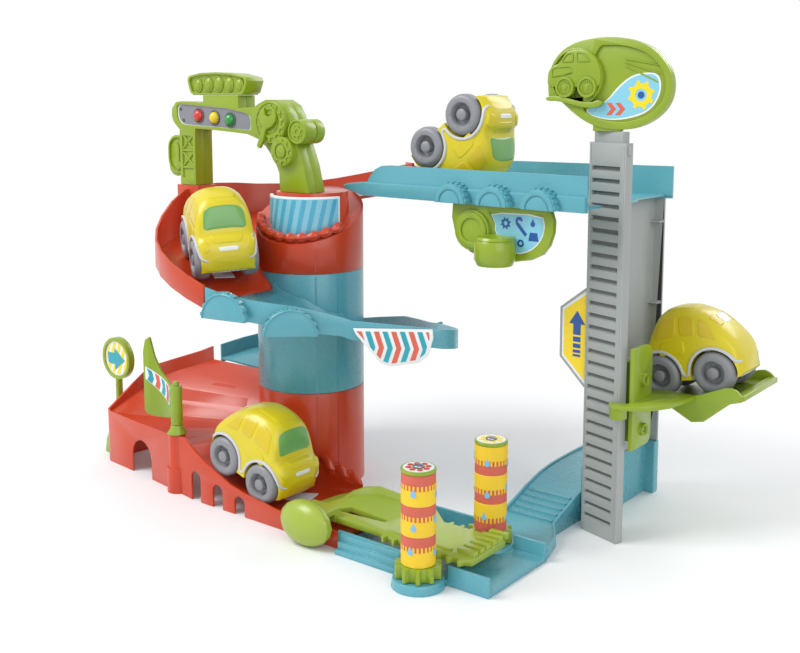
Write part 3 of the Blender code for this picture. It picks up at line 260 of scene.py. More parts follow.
def lathe(profile, sides, matrix=Matrix()):
    # a turned solid from (radius, height) points, top to bottom down its outer side
    build = bmesh.new()
    turns = [2 * pi * i / sides for i in range(sides)]
    rings = []
    for r, z in profile:
        r, z = r * mm, z * mm
        spots = [(r * cos(t), r * sin(t), z) for t in turns] if r else [(0, 0, z)]
        rings.append([build.verts.new(spot) for spot in spots])
    for top, low in zip(rings, rings[1:]):
        for i in range(sides):
            j = (i + 1) % sides
            corners = [top[i % len(top)], low[i % len(low)], low[j % len(low)], top[j % len(top)]]
            corners = [v for k, v in enumerate(corners) if v not in corners[:k]]
            if len(corners) > 2:
                build.faces.new(corners)
    bmesh.ops.recalc_face_normals(build, faces=build.faces)
    mesh = meshOf(build, "lathe")
    mesh.transform(matrix)
    return mesh


def joined(*meshes):
    build = bmesh.new()
    for mesh in meshes:
        build.from_mesh(mesh)
    return meshOf(build, "joined")


def moved(mesh, matrix):
    copied = mesh.copy()
    copied.transform(matrix)
    return copied


def box(x0, x1, y0, y1, z0, z1, edge=0.0):
    build = bmesh.new()
    size = Vector((x1 - x0, y1 - y0, z1 - z0)) * mm
    middle = Vector((x1 + x0, y1 + y0, z1 + z0)) * mm / 2
    bmesh.ops.create_cube(build, size=1.0, matrix=Matrix.Translation(middle) @ Matrix.Diagonal((*size, 1)))
    mesh = meshOf(build, "box")
    return roundedMesh(mesh, edge) if edge else mesh


def place(x=0.0, y=0.0, z=0.0, turn=0.0, axis="Z"):
    return Matrix.Translation(Vector((x, y, z)) * mm) @ Matrix.Rotation(turn, 4, axis)


def gridMesh(rows, closed=False):
    # a surface through rows of points, or a closed tube through rings of them
    build = bmesh.new()
    made = [[build.verts.new(Vector(p) * mm) for p in row] for row in rows]
    for low, high in zip(made, made[1:]):
        count = len(low)
        for i in range(count if closed else count - 1):
            j = (i + 1) % count
            build.faces.new((low[i], low[j], high[j], high[i]))
    if closed:
        build.faces.new(list(reversed(made[0])))
        build.faces.new(made[-1])
    bmesh.ops.recalc_face_normals(build, faces=build.faces)
    return meshOf(build, "grid")


def cutBy(mesh, *tools, operation="DIFFERENCE"):
    holder = holderOf(mesh)
    helpers = []
    for tool in tools:
        other = holderOf(tool, "tool")
        helpers.append(other)
        step = holder.modifiers.new("cut", "BOOLEAN")
        step.operation = operation
        step.solver = "EXACT"
        step.object = other
    made = settled(holder, "cut")
    for other in helpers:
        bpy.data.objects.remove(other)
    return made


def wrapped(rows, at, low, high):
    # a thin sheet over rows of (across, up) points, between two levels off the surface that at gives
    front = [[at(across, up, high) for across, up in row] for row in rows]
    back = [[at(across, up, low) for across, up in reversed(row)] for row in rows]
    return gridMesh([a + b for a, b in zip(front, back)], True)


# the moulded shells that keep the frame's shape

shellPaint = {
    "red": "base_ramp column_lower column_top top_loop",
    "teal": "base_lane hump_ramp tower_foot column_middle back_ramp spiral_ramp bridge",
    "grey": "tower_channel tower_front_panel arrow_sign",
    "lime": "bridge_sign gantry_front_shell gantry_rear_shell light_bar arrow_paddle round_sign gate_post "
            "gate_barrier lift_carriage lift_tray roller_front roller_rear",
    "paleLime": "slider",
    "white": "bowl_sign column_sign",
    "steel": "roller_screw_front roller_screw_rear lift_screw_upper lift_screw_lower",
    "lampRed": "lamp_red", "lampYellow": "lamp_yellow", "lampGreen": "lamp_green",
    "chassisGrey": "car_1_chassis car_2_chassis car_3_chassis car_4_chassis",
}
plainEdge = 0.7    # most edges; the others follow, by their width
edgeNodes = {0.3: shellPaint["steel"],
             0.4: "lamp_red lamp_yellow lamp_green bowl_sign column_sign",
             0.5: "tower_front_panel column_lower column_middle " + shellPaint["chassisGrey"],
             0.9: "bridge_sign"}
edgeOf = {node: width for width, names in edgeNodes.items() for node in names.split()}


def softened(node, paint):
    # a CAD node's own shape with its edges rounded as moulded plastic has them
    build = bmesh.new()
    build.from_mesh(nodes[node].data)
    bmesh.ops.remove_doubles(build, verts=build.verts, dist=0.000008)
    bmesh.ops.dissolve_limit(build, angle_limit=radians(1.0), verts=build.verts, edges=build.edges)
    mesh = roundedMesh(meshOf(build, node), edgeOf.get(node, plainEdge))
    addPiece(f"{node}_moulded", mesh, paint, bodyOf[node], 40, (node,))


for paintName, listed in shellPaint.items():
    for node in listed.split():
        softened(node, paintName)
print("shells softened")


# blocks round a circle, by Geometry Nodes

ringInputs = {"Count": "Int", "Radius": "Float", "Start": "Float", "Sweep": "Float", "Deep": "Float",
              "Wide": "Float", "Tall": "Float", "Paint": "Material"}
ringNodes = {"in": "NodeGroupInput", "arc": "GeometryNodeCurveArc", "cube": "GeometryNodeMeshCube",
             "size": "ShaderNodeCombineXYZ", "index": "GeometryNodeInputIndex", "last": "ShaderNodeMath",
             "share": "ShaderNodeMath", "turn": "ShaderNodeMath", "angle": "ShaderNodeCombineXYZ",
             "copies": "GeometryNodeInstanceOnPoints", "real": "GeometryNodeRealizeInstances",
             "paint": "GeometryNodeSetMaterial", "out": "NodeGroupOutput"}
# a node and its output, then the node and input that it feeds
ringLinks = (("in", "Count", "arc", "Resolution"), ("in", "Radius", "arc", "Radius"),
             ("in", "Start", "arc", "Start Angle"), ("in", "Sweep", "arc", "Sweep Angle"),
             ("in", "Deep", "size", 0), ("in", "Wide", "size", 1), ("in", "Tall", "size", 2),
             ("size", 0, "cube", "Size"), ("in", "Count", "last", 0), ("index", 0, "share", 0),
             ("last", 0, "share", 1), ("share", 0, "turn", 0), ("in", "Sweep", "turn", 1),
             ("in", "Start", "turn", 2), ("turn", 0, "angle", 2),
             ("arc", "Curve", "copies", "Points"), ("cube", "Mesh", "copies", "Instance"),
             ("angle", 0, "copies", "Rotation"), ("copies", 0, "real", 0), ("real", 0, "paint", "Geometry"),
             ("in", "Paint", "paint", "Material"), ("paint", 0, "out", 0))


def makeRingTree():
    tree = bpy.data.node_groups.new("ringOfBlocks", "GeometryNodeTree")
    addSocket = tree.interface.new_socket
    addSocket("Geometry", in_out="INPUT", socket_type="NodeSocketGeometry")
    for name, kind in ringInputs.items():
        addSocket(name, in_out="INPUT", socket_type=f"NodeSocket{kind}")
    addSocket("Geometry", in_out="OUTPUT", socket_type="NodeSocketGeometry")
    made = {key: tree.nodes.new(kind) for key, kind in ringNodes.items()}
    made["last"].operation = "SUBTRACT"
    made["last"].inputs[1].default_value = 1.0
    made["share"].operation = "DIVIDE"
    made["turn"].operation = "MULTIPLY_ADD"
    for source, output, target, socket in ringLinks:
        tree.links.new(made[source].outputs[output], made[target].inputs[socket])
    return tree


def ringOf(count, radius, size, paint, matrix, start=0.0, sweep=None):
    # blocks of (deep, wide, tall) round a circle, or from start over sweep degrees
    holder = holderOf(bpy.data.meshes.new("ring"))
    step = holder.modifiers.new("ring", "NODES")
    step.node_group = ringTree
    sweep = radians(360.0 * (1 - 1 / count) if sweep is None else sweep)
    deep, wide, tall = (length * mm for length in size)
    values = {"Count": count, "Radius": radius * mm, "Start": radians(start), "Sweep": sweep,
              "Deep": deep, "Wide": wide, "Tall": tall, "Paint": paints[paint]}
    for item in ringTree.interface.items_tree:
        if item.item_type == "SOCKET" and item.in_out == "INPUT" and item.name in values:
            step[item.identifier] = values[item.name]
    mesh = settled(holder, "ring")
    mesh.transform(matrix)
    return mesh


ringTree = makeRingTree()


# outlines

def ringPath(x, y, radius, count=32, start=0.0, sweep=360.0):
    steps = count if sweep == 360.0 else count - 1
    turns = [radians(start + sweep * i / steps) for i in range(count)]
    return [(x + radius * cos(t), y + radius * sin(t)) for t in turns]


def ringPaths(x, y, outer, inner, count):
    return [ringPath(x, y, outer, count), ringPath(x, y, inner, count)]


def halfRing(outer, inner=0.0):
    # half of a flat ring or disc, standing on its straight side
    return ringPath(0, 0, outer, 28, 0, 180) + (ringPath(0, 0, inner, 28, 180, -180) if inner else [])


def smoothPath(points, rounds=2):
    # a rounded version of a closed outline
    for turn in range(rounds):
        made = []
        for a, b in zip(points, points[1:] + points[:1]):
            made.append((a[0] * 0.75 + b[0] * 0.25, a[1] * 0.75 + b[1] * 0.25))
            made.append((a[0] * 0.25 + b[0] * 0.75, a[1] * 0.25 + b[1] * 0.75))
        points = made
    return points


def roundedPath(points, reach, steps=4):
    # a closed outline whose corners are rounded over reach
    made = []
    for before, corner, after in zip(points[-1:] + points[:-1], points, points[1:] + points[:1]):
        ends = []
        for other in (before, after):
            run = (other[0] - corner[0], other[1] - corner[1])
            share = min(reach / hypot(*run), 0.45)
            ends.append((corner[0] + run[0] * share, corner[1] + run[1] * share))
        for i in range(steps + 1):
            t = i / steps
            a, b, c = (1 - t) ** 2, 2 * t * (1 - t), t * t
            made.append(tuple(a * p + b * q + c * r for p, q, r in zip(ends[0], corner, ends[1])))
    return made


def drawnIn(outline, inset):
    # an outline drawn in toward its middle
    cx = sum(p[0] for p in outline) / len(outline)
    cy = sum(p[1] for p in outline) / len(outline)
    made = []
    for x, y in outline:
        reach = hypot(x - cx, y - cy)
        k = max(0.0, reach - inset) / reach
        made.append((cx + (x - cx) * k, cy + (y - cy) * k))
    return made


def barPath(x0, z0, x1, z1, wide):
    # a straight bar between two points
    reach = hypot(x1 - x0, z1 - z0)
    nx, nz = -(z1 - z0) / reach * wide / 2, (x1 - x0) / reach * wide / 2
    return [(x0 + nx, z0 + nz), (x0 - nx, z0 - nz), (x1 - nx, z1 - nz), (x1 + nx, z1 + nz)]


def dropPath(x, y, size):
    lower = ringPath(x, y, size, 13, 155, 230)
    return lower + [(x + size * 0.3, y + size * 1.25), (x, y + size * 2.1), (x - size * 0.3, y + size * 1.25)]


def gearPath(x, y, radius, teeth, depth):
    made = []
    for i in range(teeth):
        for share, out in ((0.0, 0), (0.14, 0), (0.24, 1), (0.5, 1), (0.6, 0)):
            turn = 2 * pi * (i + share) / teeth
            reach = radius + depth * out
            made.append((x + reach * cos(turn), y + reach * sin(turn)))
    return made


def plates(sheet, *rows):
    # flat plates on one sheet, each with its outlines, its two levels, and its edge's width and steps
    return [flatPlate(outlines, low, high, sheet, *edge) for outlines, low, high, *edge in rows]


# cars

carLook = dict(length=110.0, width=62.0, height=85.0, wideShare=0.99, tallShare=0.995, sill=15.0,
               baseHalf=27.5, wheel=20.5, track=66.0, archGap=2.2, trim=2.8, trimOut=0.9, flank=0.36,
               turnIn=1.2, stations=48, around=20)
# along the car, half width, lift of the sill, shoulder and roof, as shares of its size
bodyShares = ((-0.5, 0.60, 4, 0.36, 0.43), (-0.47, 0.84, 1, 0.42, 0.54), (-0.4, 0.96, 0, 0.5, 0.69),
              (-0.28, 1, 0, 0.57, 0.86), (-0.14, 1, 0, 0.62, 0.965), (0, 1, 0, 0.63, 1),
              (0.12, 1, 0, 0.62, 0.99), (0.22, 1, 0, 0.6, 0.93), (0.29, 1, 0, 0.56, 0.8),
              (0.345, 0.99, 0, 0.52, 0.63), (0.42, 0.95, 0, 0.48, 0.575), (0.475, 0.82, 1, 0.41, 0.49),
              (0.5, 0.62, 4, 0.34, 0.4))
bodyStations = [(along * carLook["length"], wide * carLook["width"] / 2 * carLook["wideShare"],
                 carLook["sill"] + lift, low * carLook["height"],
                 high * carLook["height"] * carLook["tallShare"])
                for along, wide, lift, low, high in bodyShares]
# where each car stands: x, y, z, heading, pitch and roll in degrees; the third has the lift tray's slope
carSpots = ((-48, -89.5, 243.2, -31, 15.6, 3), (18, -102, 26.1, 0, 19.5, 0),
            (392, 141, 132.608, 180, degrees(atan(0.204)), 0), (146, 58, 400.7, 0, -37, 180))
# panels as (x, t) corners on the body and how far they stand out; those of the flanks are made on both sides
flankPanels = {
    "windows": ((((5, 0.2), (28, 0.2), (22, 0.33), (5, 0.335)), 0.3),                # front
                (((-14, 0.2), (1.5, 0.2), (1.5, 0.335), (-14, 0.335)), 0.3),         # middle
                (((-36, 0.215), (-18, 0.2), (-18, 0.33), (-27, 0.32)), 0.3)),        # rear quarter
    "details": ((((-2, 0.12), (25, 0.12), (22, 0.182), (-2, 0.182)), 0.5),           # door
                (((44, 0.22), (52.4, 0.24), (52.4, 0.36), (44, 0.35)), 1.0)),        # lamp
}
topPanels = {
    "windows": ((((-38, 0.385), (-27, 0.375), (-27, 0.455), (-38, 0.455)), 0.3),     # rear, left
                (((-38, 0.615), (-27, 0.625), (-27, 0.545), (-38, 0.545)), 0.3)),    # rear, right
    "details": ((((39, 0.4), (49, 0.42), (49, 0.58), (39, 0.6)), 0.6),               # bonnet
                (((-12, 0.42), (18, 0.42), (18, 0.58), (-12, 0.58)), 0.4)),          # roof
    "badges": ((((-38.5, 0.465), (-29.5, 0.465), (-29.5, 0.535), (-38.5, 0.535)), 0.6),
               (((51.6, 0.44), (53.2, 0.44), (53.2, 0.56), (51.6, 0.56)), 0.6)),
    "windscreen": ((((25.8, 0.375), (36.4, 0.35), (36.4, 0.65), (25.8, 0.625)), 0.35),),
}
# blocks of the trim: the step between the wheels and the two aprons, with the width of their edges
trimBlocks = ((-6.5, 6.5, -27.4, 27.4, 14.2, 18.6, 0.5), (48.8, 53.2, -18, 18, 15.2, 20.4, 1.4),
              (-53, -48.8, -18, 18, 15.2, 20, 1.4))
# half of a wheel set's profile from the axle outward: radius, and distance in from the outer face
tyreProfile = ((0, 0.2), (4.6, 0.3), (5.6, 1.0), (5.9, 8.0), (10.2, 8.0), (11.3, 1.8), (12.2, 0.4), (15.4, 0),
               (17.8, 0.5), (19.5, 2.0), (20.5, 5.2), (20.5, 12.0), (19.7, 14.6), (17.8, 16.0), (2.2, 16.0))


def bodyAt(x):
    # half width, sill, shoulder and roof of the car's body at x, on a smooth curve
    marks = bodyStations
    last = len(marks) - 1
    x = min(max(x, marks[0][0]), marks[-1][0])
    i = next(i for i in range(last) if x <= marks[i + 1][0])
    before, low, high, after = marks[max(i - 1, 0)], marks[i], marks[i + 1], marks[min(i + 2, last)]
    span = high[0] - low[0]
    t = (x - low[0]) / span
    made = []
    for a, b, c, d in list(zip(before, low, high, after))[1:]:
        slope = (c - b) / span
        first = 0.5 * ((b - a) / (low[0] - before[0]) + slope) if before is not low else slope
        second = 0.5 * (slope + (d - c) / (after[0] - high[0])) if after is not high else slope
        made.append((2 * t ** 3 - 3 * t ** 2 + 1) * b + (t ** 3 - 2 * t ** 2 + t) * first * span
                    + (3 * t ** 2 - 2 * t ** 3) * c + (t ** 3 - t ** 2) * second * span)
    return made


def bodyPoint(x, t, out=0.0):
    # a point on the body: t runs from 0 at the left sill over the roof to 1 at the right sill
    flank, turnIn = carLook["flank"], carLook["turnIn"]
    half, sill, shoulder, roof = bodyAt(x)
    side = -1 if t < 0.5 else 1
    s = 1 - abs(2 * t - 1)    # 0 at a sill, 1 at the middle of the roof
    if s < flank:
        share = s / flank
        y = half - turnIn * share * share + out
        z = sill + (shoulder - sill) * share
    else:
        turn = (s - flank) / (1 - flank) * pi / 2
        y = (half - turnIn) * cos(turn) ** 0.72 + out * cos(turn)
        z = shoulder + (roof - shoulder) * sin(turn) ** 0.85 + out * sin(turn)
    return (x, side * y, z)


def patch(corners, out, thick=1.0, steps=10, pull=0.14):
    # a raised panel on the body, drawn in at its corners; corners are (x, t) pairs in order
    middle = [sum(axis) / 4 for axis in zip(*corners)]
    top, under = [], []
    for i in range(steps + 1):
        u = i / steps
        low = [a * (1 - u) + b * u for a, b in zip(corners[0], corners[1])]
        high = [a * (1 - u) + b * u for a, b in zip(corners[3], corners[2])]
        spots = []
        for k in range(steps + 1):
            v = k / steps
            near = pull * abs(2 * u - 1) ** 6 * abs(2 * v - 1) ** 6
            spot = [a * (1 - v) + b * v for a, b in zip(low, high)]
            spots.append([p + (m - p) * near for p, m in zip(spot, middle)])
        top.append([bodyPoint(x, t, out) for x, t in spots])
        under.append([bodyPoint(x, t, out - thick) for x, t in spots])
    build = bmesh.new()
    up, down = ([[build.verts.new(Vector(p) * mm) for p in row] for row in rows] for rows in (top, under))
    for i in range(steps):
        for k in range(steps):
            build.faces.new((up[i][k], up[i + 1][k], up[i + 1][k + 1], up[i][k + 1]))
            build.faces.new((down[i][k], down[i][k + 1], down[i + 1][k + 1], down[i + 1][k]))
    edge = ([(i, 0) for i in range(steps)] + [(steps, k) for k in range(steps)]
            + [(i, steps) for i in range(steps, 0, -1)] + [(0, k) for k in range(steps, 0, -1)])
    for (a, b), (c, d) in zip(edge, edge[1:] + edge[:1]):
        build.faces.new((up[a][b], down[a][b], down[c][d], up[c][d]))
    bmesh.ops.recalc_face_normals(build, faces=build.faces)
    return roundedMesh(meshOf(build, "patch"), 0.35, 2, 50)


def panels(kind):
    flanks = [patch([(x, 1 - t if side else t) for x, t in corners], out)
              for side in (0, 1) for corners, out in flankPanels.get(kind, ())]
    return joined(*flanks, *[patch(corners, out) for corners, out in topPanels[kind]])


def ribbonOn(path, side, thick, out, deep=2.4):
    # a strip along (x, z) points on the body's flank, thick across its path
    rings = []
    for i, (x, z) in enumerate(path):
        a, b = path[max(i - 1, 0)], path[min(i + 1, len(path) - 1)]
        run = Vector((b[0] - a[0], b[1] - a[1])).normalized()
        nx, nz = -run.y * thick / 2, run.x * thick / 2
        half = bodyAt(x)[0]
        y0, y1 = side * (half - deep), side * (half + out)
        rings.append([(x - nx, y0, z - nz), (x + nx, y0, z + nz), (x + nx, y1, z + nz), (x - nx, y1, z - nz)])
    return roundedMesh(gridMesh(rings, True), 0.5, 2, 50)


def carShell():
    look = carLook
    rows = []
    for i in range(look["stations"] + 1):
        x = -look["length"] / 2 * cos(pi * i / look["stations"])
        half, sill = bodyAt(x)[:2]
        under = [(x, half * share, sill - 0.4) for share in (0.5, 0, -0.5)]
        rows.append([bodyPoint(x, k / (2 * look["around"])) for k in range(2 * look["around"] + 1)] + under)
    reach = look["wheel"] + look["archGap"]
    tools = [lathe([(0, 40), (reach, 40), (reach, -40), (0, -40)], 40, place(x, 0, look["wheel"]) @ upright)
             for x in (-look["baseHalf"], look["baseHalf"])]
    return cutBy(gridMesh(rows, True), *tools)


def carTrim():
    # pale sill and arch band on both flanks, the step between the wheels, and the aprons
    look = carLook
    base, wheel, reach = look["baseHalf"], look["wheel"], look["wheel"] + look["archGap"] + look["trim"] / 2
    end = look["length"] / 2 - 1.2
    path = [(-end, 29.5), (-end + 3, 30)] + ringPath(-base, wheel, reach, 21, 150, -136)
    path += [(-2.6, 20.4), (0, 19.0), (2.6, 20.4)]
    path += ringPath(base, wheel, reach, 21, 166, -136) + [(end - 3, 30), (end, 28.5)]
    ribbons = [ribbonOn(path, side, look["trim"], look["trimOut"]) for side in (-1, 1)]
    grille = [box(52.6, 54.0, -9.6 + 4.2 * i, -7.4 + 4.2 * i, 16, 19, 0.3) for i in range(5)]
    return joined(*ribbons, *[box(*block) for block in trimBlocks], *grille)


def wheelPair():
    # both wheels on their axle, with a sunk ring round each hub and five marks outside it
    outer = carLook["track"] / 2
    half = [(r, outer - inward) for r, inward in tyreProfile]
    turned = lathe(half + [(r, -y) for r, y in reversed(half)], 44)
    spots = [place(0, 0, side * (outer - 0.4)) for side in (-1, 1)]
    marks = [ringOf(5, 13.2, (0.6, 1.6, 1.2), "tyreGrey", spot) for spot in spots]
    return joined(turned, *marks)


def makeCars():
    wheels = wheelPair()
    shell = joined(carShell(), panels("details"))
    parts = (("Trim", carTrim(), "chassisGrey"), ("Windscreen", panels("windscreen"), "windscreen"),
             ("Windows", panels("windows"), "windowYellow"), ("Badges", panels("badges"), "white"))
    for number, (x, y, z, heading, pitch, roll) in enumerate(carSpots, 1):
        turns = Matrix.Rotation(radians(pitch), 4, "Y") @ Matrix.Rotation(radians(roll), 4, "X")
        matrix = place(x, y, z, radians(heading)) @ turns
        body = f"car_{number}"
        addPiece(f"car{number}Body", moved(shell, matrix), "carYellow", body, 45, (f"{body}_shell",))
        for part, mesh, paint in parts:
            addPiece(f"car{number}{part}", moved(mesh, matrix), paint, body, 45)
        for end, along in (("rear", -carLook["baseHalf"]), ("front", carLook["baseHalf"])):
            mesh = moved(wheels, matrix @ place(along, 0, carLook["wheel"]) @ upright)
            addPiece(f"car{number}{end.title()}Wheels", mesh, "tyreGrey", f"{body}_{end}_axle", 40,
                     (f"{body}_{end}_wheels",))


makeCars()
print("cars made")


# prints, signs and small details

printLook = dict(sheet=0.35, layer=0.25, edge=0.12)


def printOn(name, sheet, base, paint, outlines, level=0):
    # one flat layer of a print, level layers above its base
    low = base + level * printLook["layer"]
    high = low + printLook["sheet"]
    addPiece(name, flatPlate(outlines, low, high, sheet, printLook["edge"], 1), paint)


def clipped(outlines, low, high, matrix, mask):
    # flat plates cut to the mask's outline
    mesh = joined(*[flatPlate([outline], low, high) for outline in outlines])
    mesh = cutBy(mesh, flatPlate([mask], low - 1, high + 1), operation="INTERSECT")
    return moved(mesh, matrix)


topSignLook = dict(
    x=337.0, z=430.0, front=39, face=2.6,
    rim=[(-62, 12), (-56, 24), (-46, 33), (-33, 38.6), (-18, 41), (-4, 42), (12, 41), (28, 37), (41, 31),
         (51, 22), (58.5, 11), (61, -1), (59.5, -13), (54, -23), (44, -32), (31, -38), (18, -41), (4, -41),
         (-11, -39), (-24, -34), (-35, -27), (-44, -20), (-52, -13.4), (-61.4, -13.4), (-63, -8), (-62.6, 4)],
    disc=(-33, 6), discRadius=27.0, hoop=2.2,
    car=[(274.5, 428), (275, 441), (279, 446.5), (287, 449), (293, 459), (303, 462), (316, 460.5), (325, 454),
         (329.5, 444), (330.4, 434), (328, 427), (283, 427)],
    frames=([(289, 450), (294.5, 458), (302, 459), (302, 450)],
            [(305, 450), (305, 459.4), (314, 458), (320, 450)],
            [(279, 436), (279, 444), (285, 446), (300, 446), (302, 440), (292, 438)]),
    wheels=((294.0, 427), (317.0, 427)),
    shelf=[(273.4, 417.4), (280, 419.6), (292, 418.6), (306, 414.6), (320, 413), (330, 416), (333, 413),
           (329, 409), (316, 408), (300, 411.4), (286, 414.6), (275, 414.4)],
    leaf=[(309, 406), (333, 413), (345, 428), (359, 438), (373, 440), (383, 439), (387, 431), (386, 420),
          (379, 408), (366, 401), (345, 397), (325, 398.6)],
    gear=(368, 420), marks=(334, 343),
    mark=((0, 402), (5, 402), (10, 407.5), (5, 413), (0, 413), (5, 407.5)))


def makeTopSign():
    # an oval board with a raised rim, a round field with a car in relief, and a leaf-shaped print
    look = topSignLook
    sheet = place(0, look["front"]) @ upright
    x, z, rim, radius = look["x"], look["z"], look["rim"], look["discRadius"]
    outline = smoothPath([(x + px, z + pz) for px, pz in rim])
    inner = smoothPath([(x + 2 + px * 0.87, z + pz * 0.83) for px, pz in rim[4:21]])
    disc = x + look["disc"][0], z + look["disc"][1]
    rows = [([outline], -5, 2.6, 1.2), ([outline, inner], 1.6, 5.0, 1.3),
            ([ringPath(*disc, radius, 72)], 0, 5.0, 0.8),
            (ringPaths(*disc, radius, radius - look["hoop"], 72), 4, 6.8, 0.8),
            ([roundedPath(look["car"], 4)], 4, 8.2, 1.5), ([smoothPath(look["shelf"], 1)], 4, 9.4, 1.2)]
    for shape in look["frames"]:
        frameLine = roundedPath(shape, 2)
        rows.append(([frameLine, drawnIn(frameLine, 1.3)], 7.6, 9.0, 0.4, 1))
    wheels = []
    for spot in look["wheels"]:
        wheels += plates(sheet, ([ringPath(*spot, 9.4, 40)], 4, 9.2, 1.0),
                         (ringPaths(*spot, 9.4, 7.4, 40), 8.6, 10.2, 0.5),
                         ([ringPath(*spot, 2.6, 20)], 8.6, 10.0, 0.5))
        wheels.append(ringOf(16, 5.4, (2.0, 0.7, 0.9), "lime", sheet @ place(*spot, 9.4)))
    bars = [barPath(352, 452 - 3 * i, 386 - i, 446 - 7.4 * i, 1.5) for i in range(3)]
    lines = plates(sheet, *[([bar], 2.4, 3.6, 0.4, 1) for bar in bars])
    neck = box(x - 16, x + 12, 35.4, 42.2, 387.3, z - 37, 0.6)
    board = joined(neck, *plates(sheet, *rows), *wheels, *lines)
    addPiece("topSignBoard", board, "lime", smooth=40, replaces=("top_sign",))
    leaf = smoothPath(look["leaf"])
    printOn("topSignSheet", sheet, look["face"], "white", [leaf])
    printOn("topSignField", sheet, look["face"], "skyBlue", [drawnIn(leaf, 1.8)], 1)
    gear = [gearPath(*look["gear"], 10.5, 8, 2.6), ringPath(*look["gear"], 5.6, 24)]
    printOn("topSignRing", sheet, look["face"], "stickerYellow", gear, 2)
    printOn("topSignHub", sheet, look["face"], "navy", [ringPath(*look["gear"], 3.2, 20)], 2)
    for i, left in enumerate(look["marks"]):
        mark = [(left + across, up) for across, up in look["mark"]]
        printOn(f"topSignMark{i}", sheet, look["face"], "stickerCoral", [mark], 2)


bridgeSignLook = dict(
    front=11, face=1.4, sheetInset=0.4, fieldInset=2.0,
    field=[(226, 309), (286, 310), (289, 299), (286, 287), (278, 277), (267, 271), (256, 269), (252, 279),
           (244, 285), (232, 288), (232, 299)],
    gear=(245, 299),
    spanner=[(256, 303), (258, 306), (262, 306), (264, 303), (262.4, 301.6), (261, 303), (259, 303),
             (258.4, 301), (260.4, 299.6), (269, 290), (266.6, 287.6), (258, 297), (256.4, 299)],
    drop=(275, 300, 2.6), bucket=[(272, 292), (280, 292), (281.6, 284), (270.4, 284)], ring=(262, 281),
    hoop=(209, 290, 17.6, 11.6), collar=(243, -6),
    collarProfile=[(13.4, 285.6), (17.4, 287.4), (19.0, 285.0), (17.4, 284.0), (13.4, 284.6), (13.4, 285.6)])


def makeBridgeSign():
    look = bridgeSignLook
    sheet = place(0, look["front"]) @ upright
    field = smoothPath(look["field"], 1)
    printOn("bridgeSignSheet", sheet, look["face"], "white", [drawnIn(field, look["sheetInset"])])
    printOn("bridgeSignField", sheet, look["face"], "skyBlue", [drawnIn(field, look["fieldInset"])], 1)
    marks = [[gearPath(*look["gear"], 4.4, 8, 1.5), ringPath(*look["gear"], 2.1, 16)], [look["spanner"]],
             [dropPath(*look["drop"])], [look["bucket"]],
             [ringPath(*look["ring"], 3.6, 20), ringPath(*look["ring"], 1.8, 16)]]
    for i, outlines in enumerate(marks):
        printOn(f"bridgeSignMark{i}", sheet, look["face"], "navy", outlines, 2)
    hoop = flatPlate(ringPaths(*look["hoop"], 48), 6.4, 8.8, sheet, 1.1)
    collar = lathe(look["collarProfile"], 40, place(*look["collar"]))
    addPiece("bridgeSignHoops", joined(hoop, collar), "lime", smooth=40)


# outlines as left, right, low left, low, high and high left, across from the sign's edge
arrowSignLook = dict(
    front=50, face=1.5, edge=337 - 23 * cos(radians(17.5)) - 0.7, middle=-11.5,
    plate=(-30, 0, 168, 141, 238, 217), opening=(-28, -0.8, 169, 144, 235, 216),
    sheet=(-28, -0.4, 169, 144, 235, 216), field=(-26, -0.6, 170.4, 147.6, 231.5, 214.6),
    head=((0, 215), (-8.6, 202), (-4, 202), (-4, 191.4), (4, 191.4), (4, 202), (8.6, 202)),
    tail=((184.6, 189.4), (178.6, 182.6), (173.8, 176.6), (170.0, 172.2)))


def makeArrowSign():
    look = arrowSignLook
    sheet = place(0, look["front"]) @ upright

    def flag(left, right, lowLeft, low, high, highLeft):
        points = (left, lowLeft), (-3, low), (right, low), (right, high), (-3, high), (left, highLeft)
        return [(look["edge"] + x, z) for x, z in points]

    printOn("arrowSignSheet", sheet, look["face"], "white", [flag(*look["sheet"])])
    printOn("arrowSignField", sheet, look["face"], "stickerYellow", [flag(*look["field"])], 1)
    middle = look["edge"] + look["middle"]
    marks = [[(middle + x, z) for x, z in look["head"]]]
    for low, high in look["tail"]:
        marks.append([(middle - 4, low), (middle + 4, low), (middle + 4, high), (middle - 4, high)])
    marks = plates(sheet, *[([mark], look["face"] + 0.5, look["face"] + 0.9) for mark in marks])
    addPiece("arrowSignMark", joined(*marks), "navy")
    rim = flatPlate([flag(*look["plate"]), flag(*look["opening"])], 1.4, 2.5, sheet, 0.3)
    addPiece("arrowSignRim", rim, "grey")


bowlSignLook = dict(
    spot=(126, -77, 0, atan2(36, 71)), start=1, step=8.6, width=5.0, low=160, high=197, lean=6, bands=10,
    mask=[(4.5, 193.5), (75.5, 195.6), (76.4, 190), (72, 174.5), (65, 168), (38, 163), (29.5, 165.6),
          (8, 190)])


def makeBowlSign():
    # bands that lean one way below the middle and back above it
    look = bowlSignLook
    low, high, width = look["low"], look["high"], look["width"]
    middle = (low + high) / 2
    bands = []
    for i in range(look["bands"]):
        x = look["start"] + look["step"] * i
        left = x - look["lean"]
        right, tip = left + width, x + width
        bands.append([(left, low), (right, low), (tip, middle), (right, high), (left, high), (x, middle)])
    sheet = place(*look["spot"]) @ upright
    for name, first, paint in (("bowlSignTeal", 0, "stickerTeal"), ("bowlSignCoral", 1, "stickerCoral")):
        addPiece(name, clipped(bands[first::2], 3.3, 3.75, sheet, look["mask"]), paint)


gateLook = dict(left=-77 - 5.4, reach=46, face=-128, sag=9, thick=1.3, low=(83, 34), high=(106, 24),
                lean=0.045, bands={"Teal": (0.13, 0.47, 0.81), "Coral": (0.3, 0.64)})


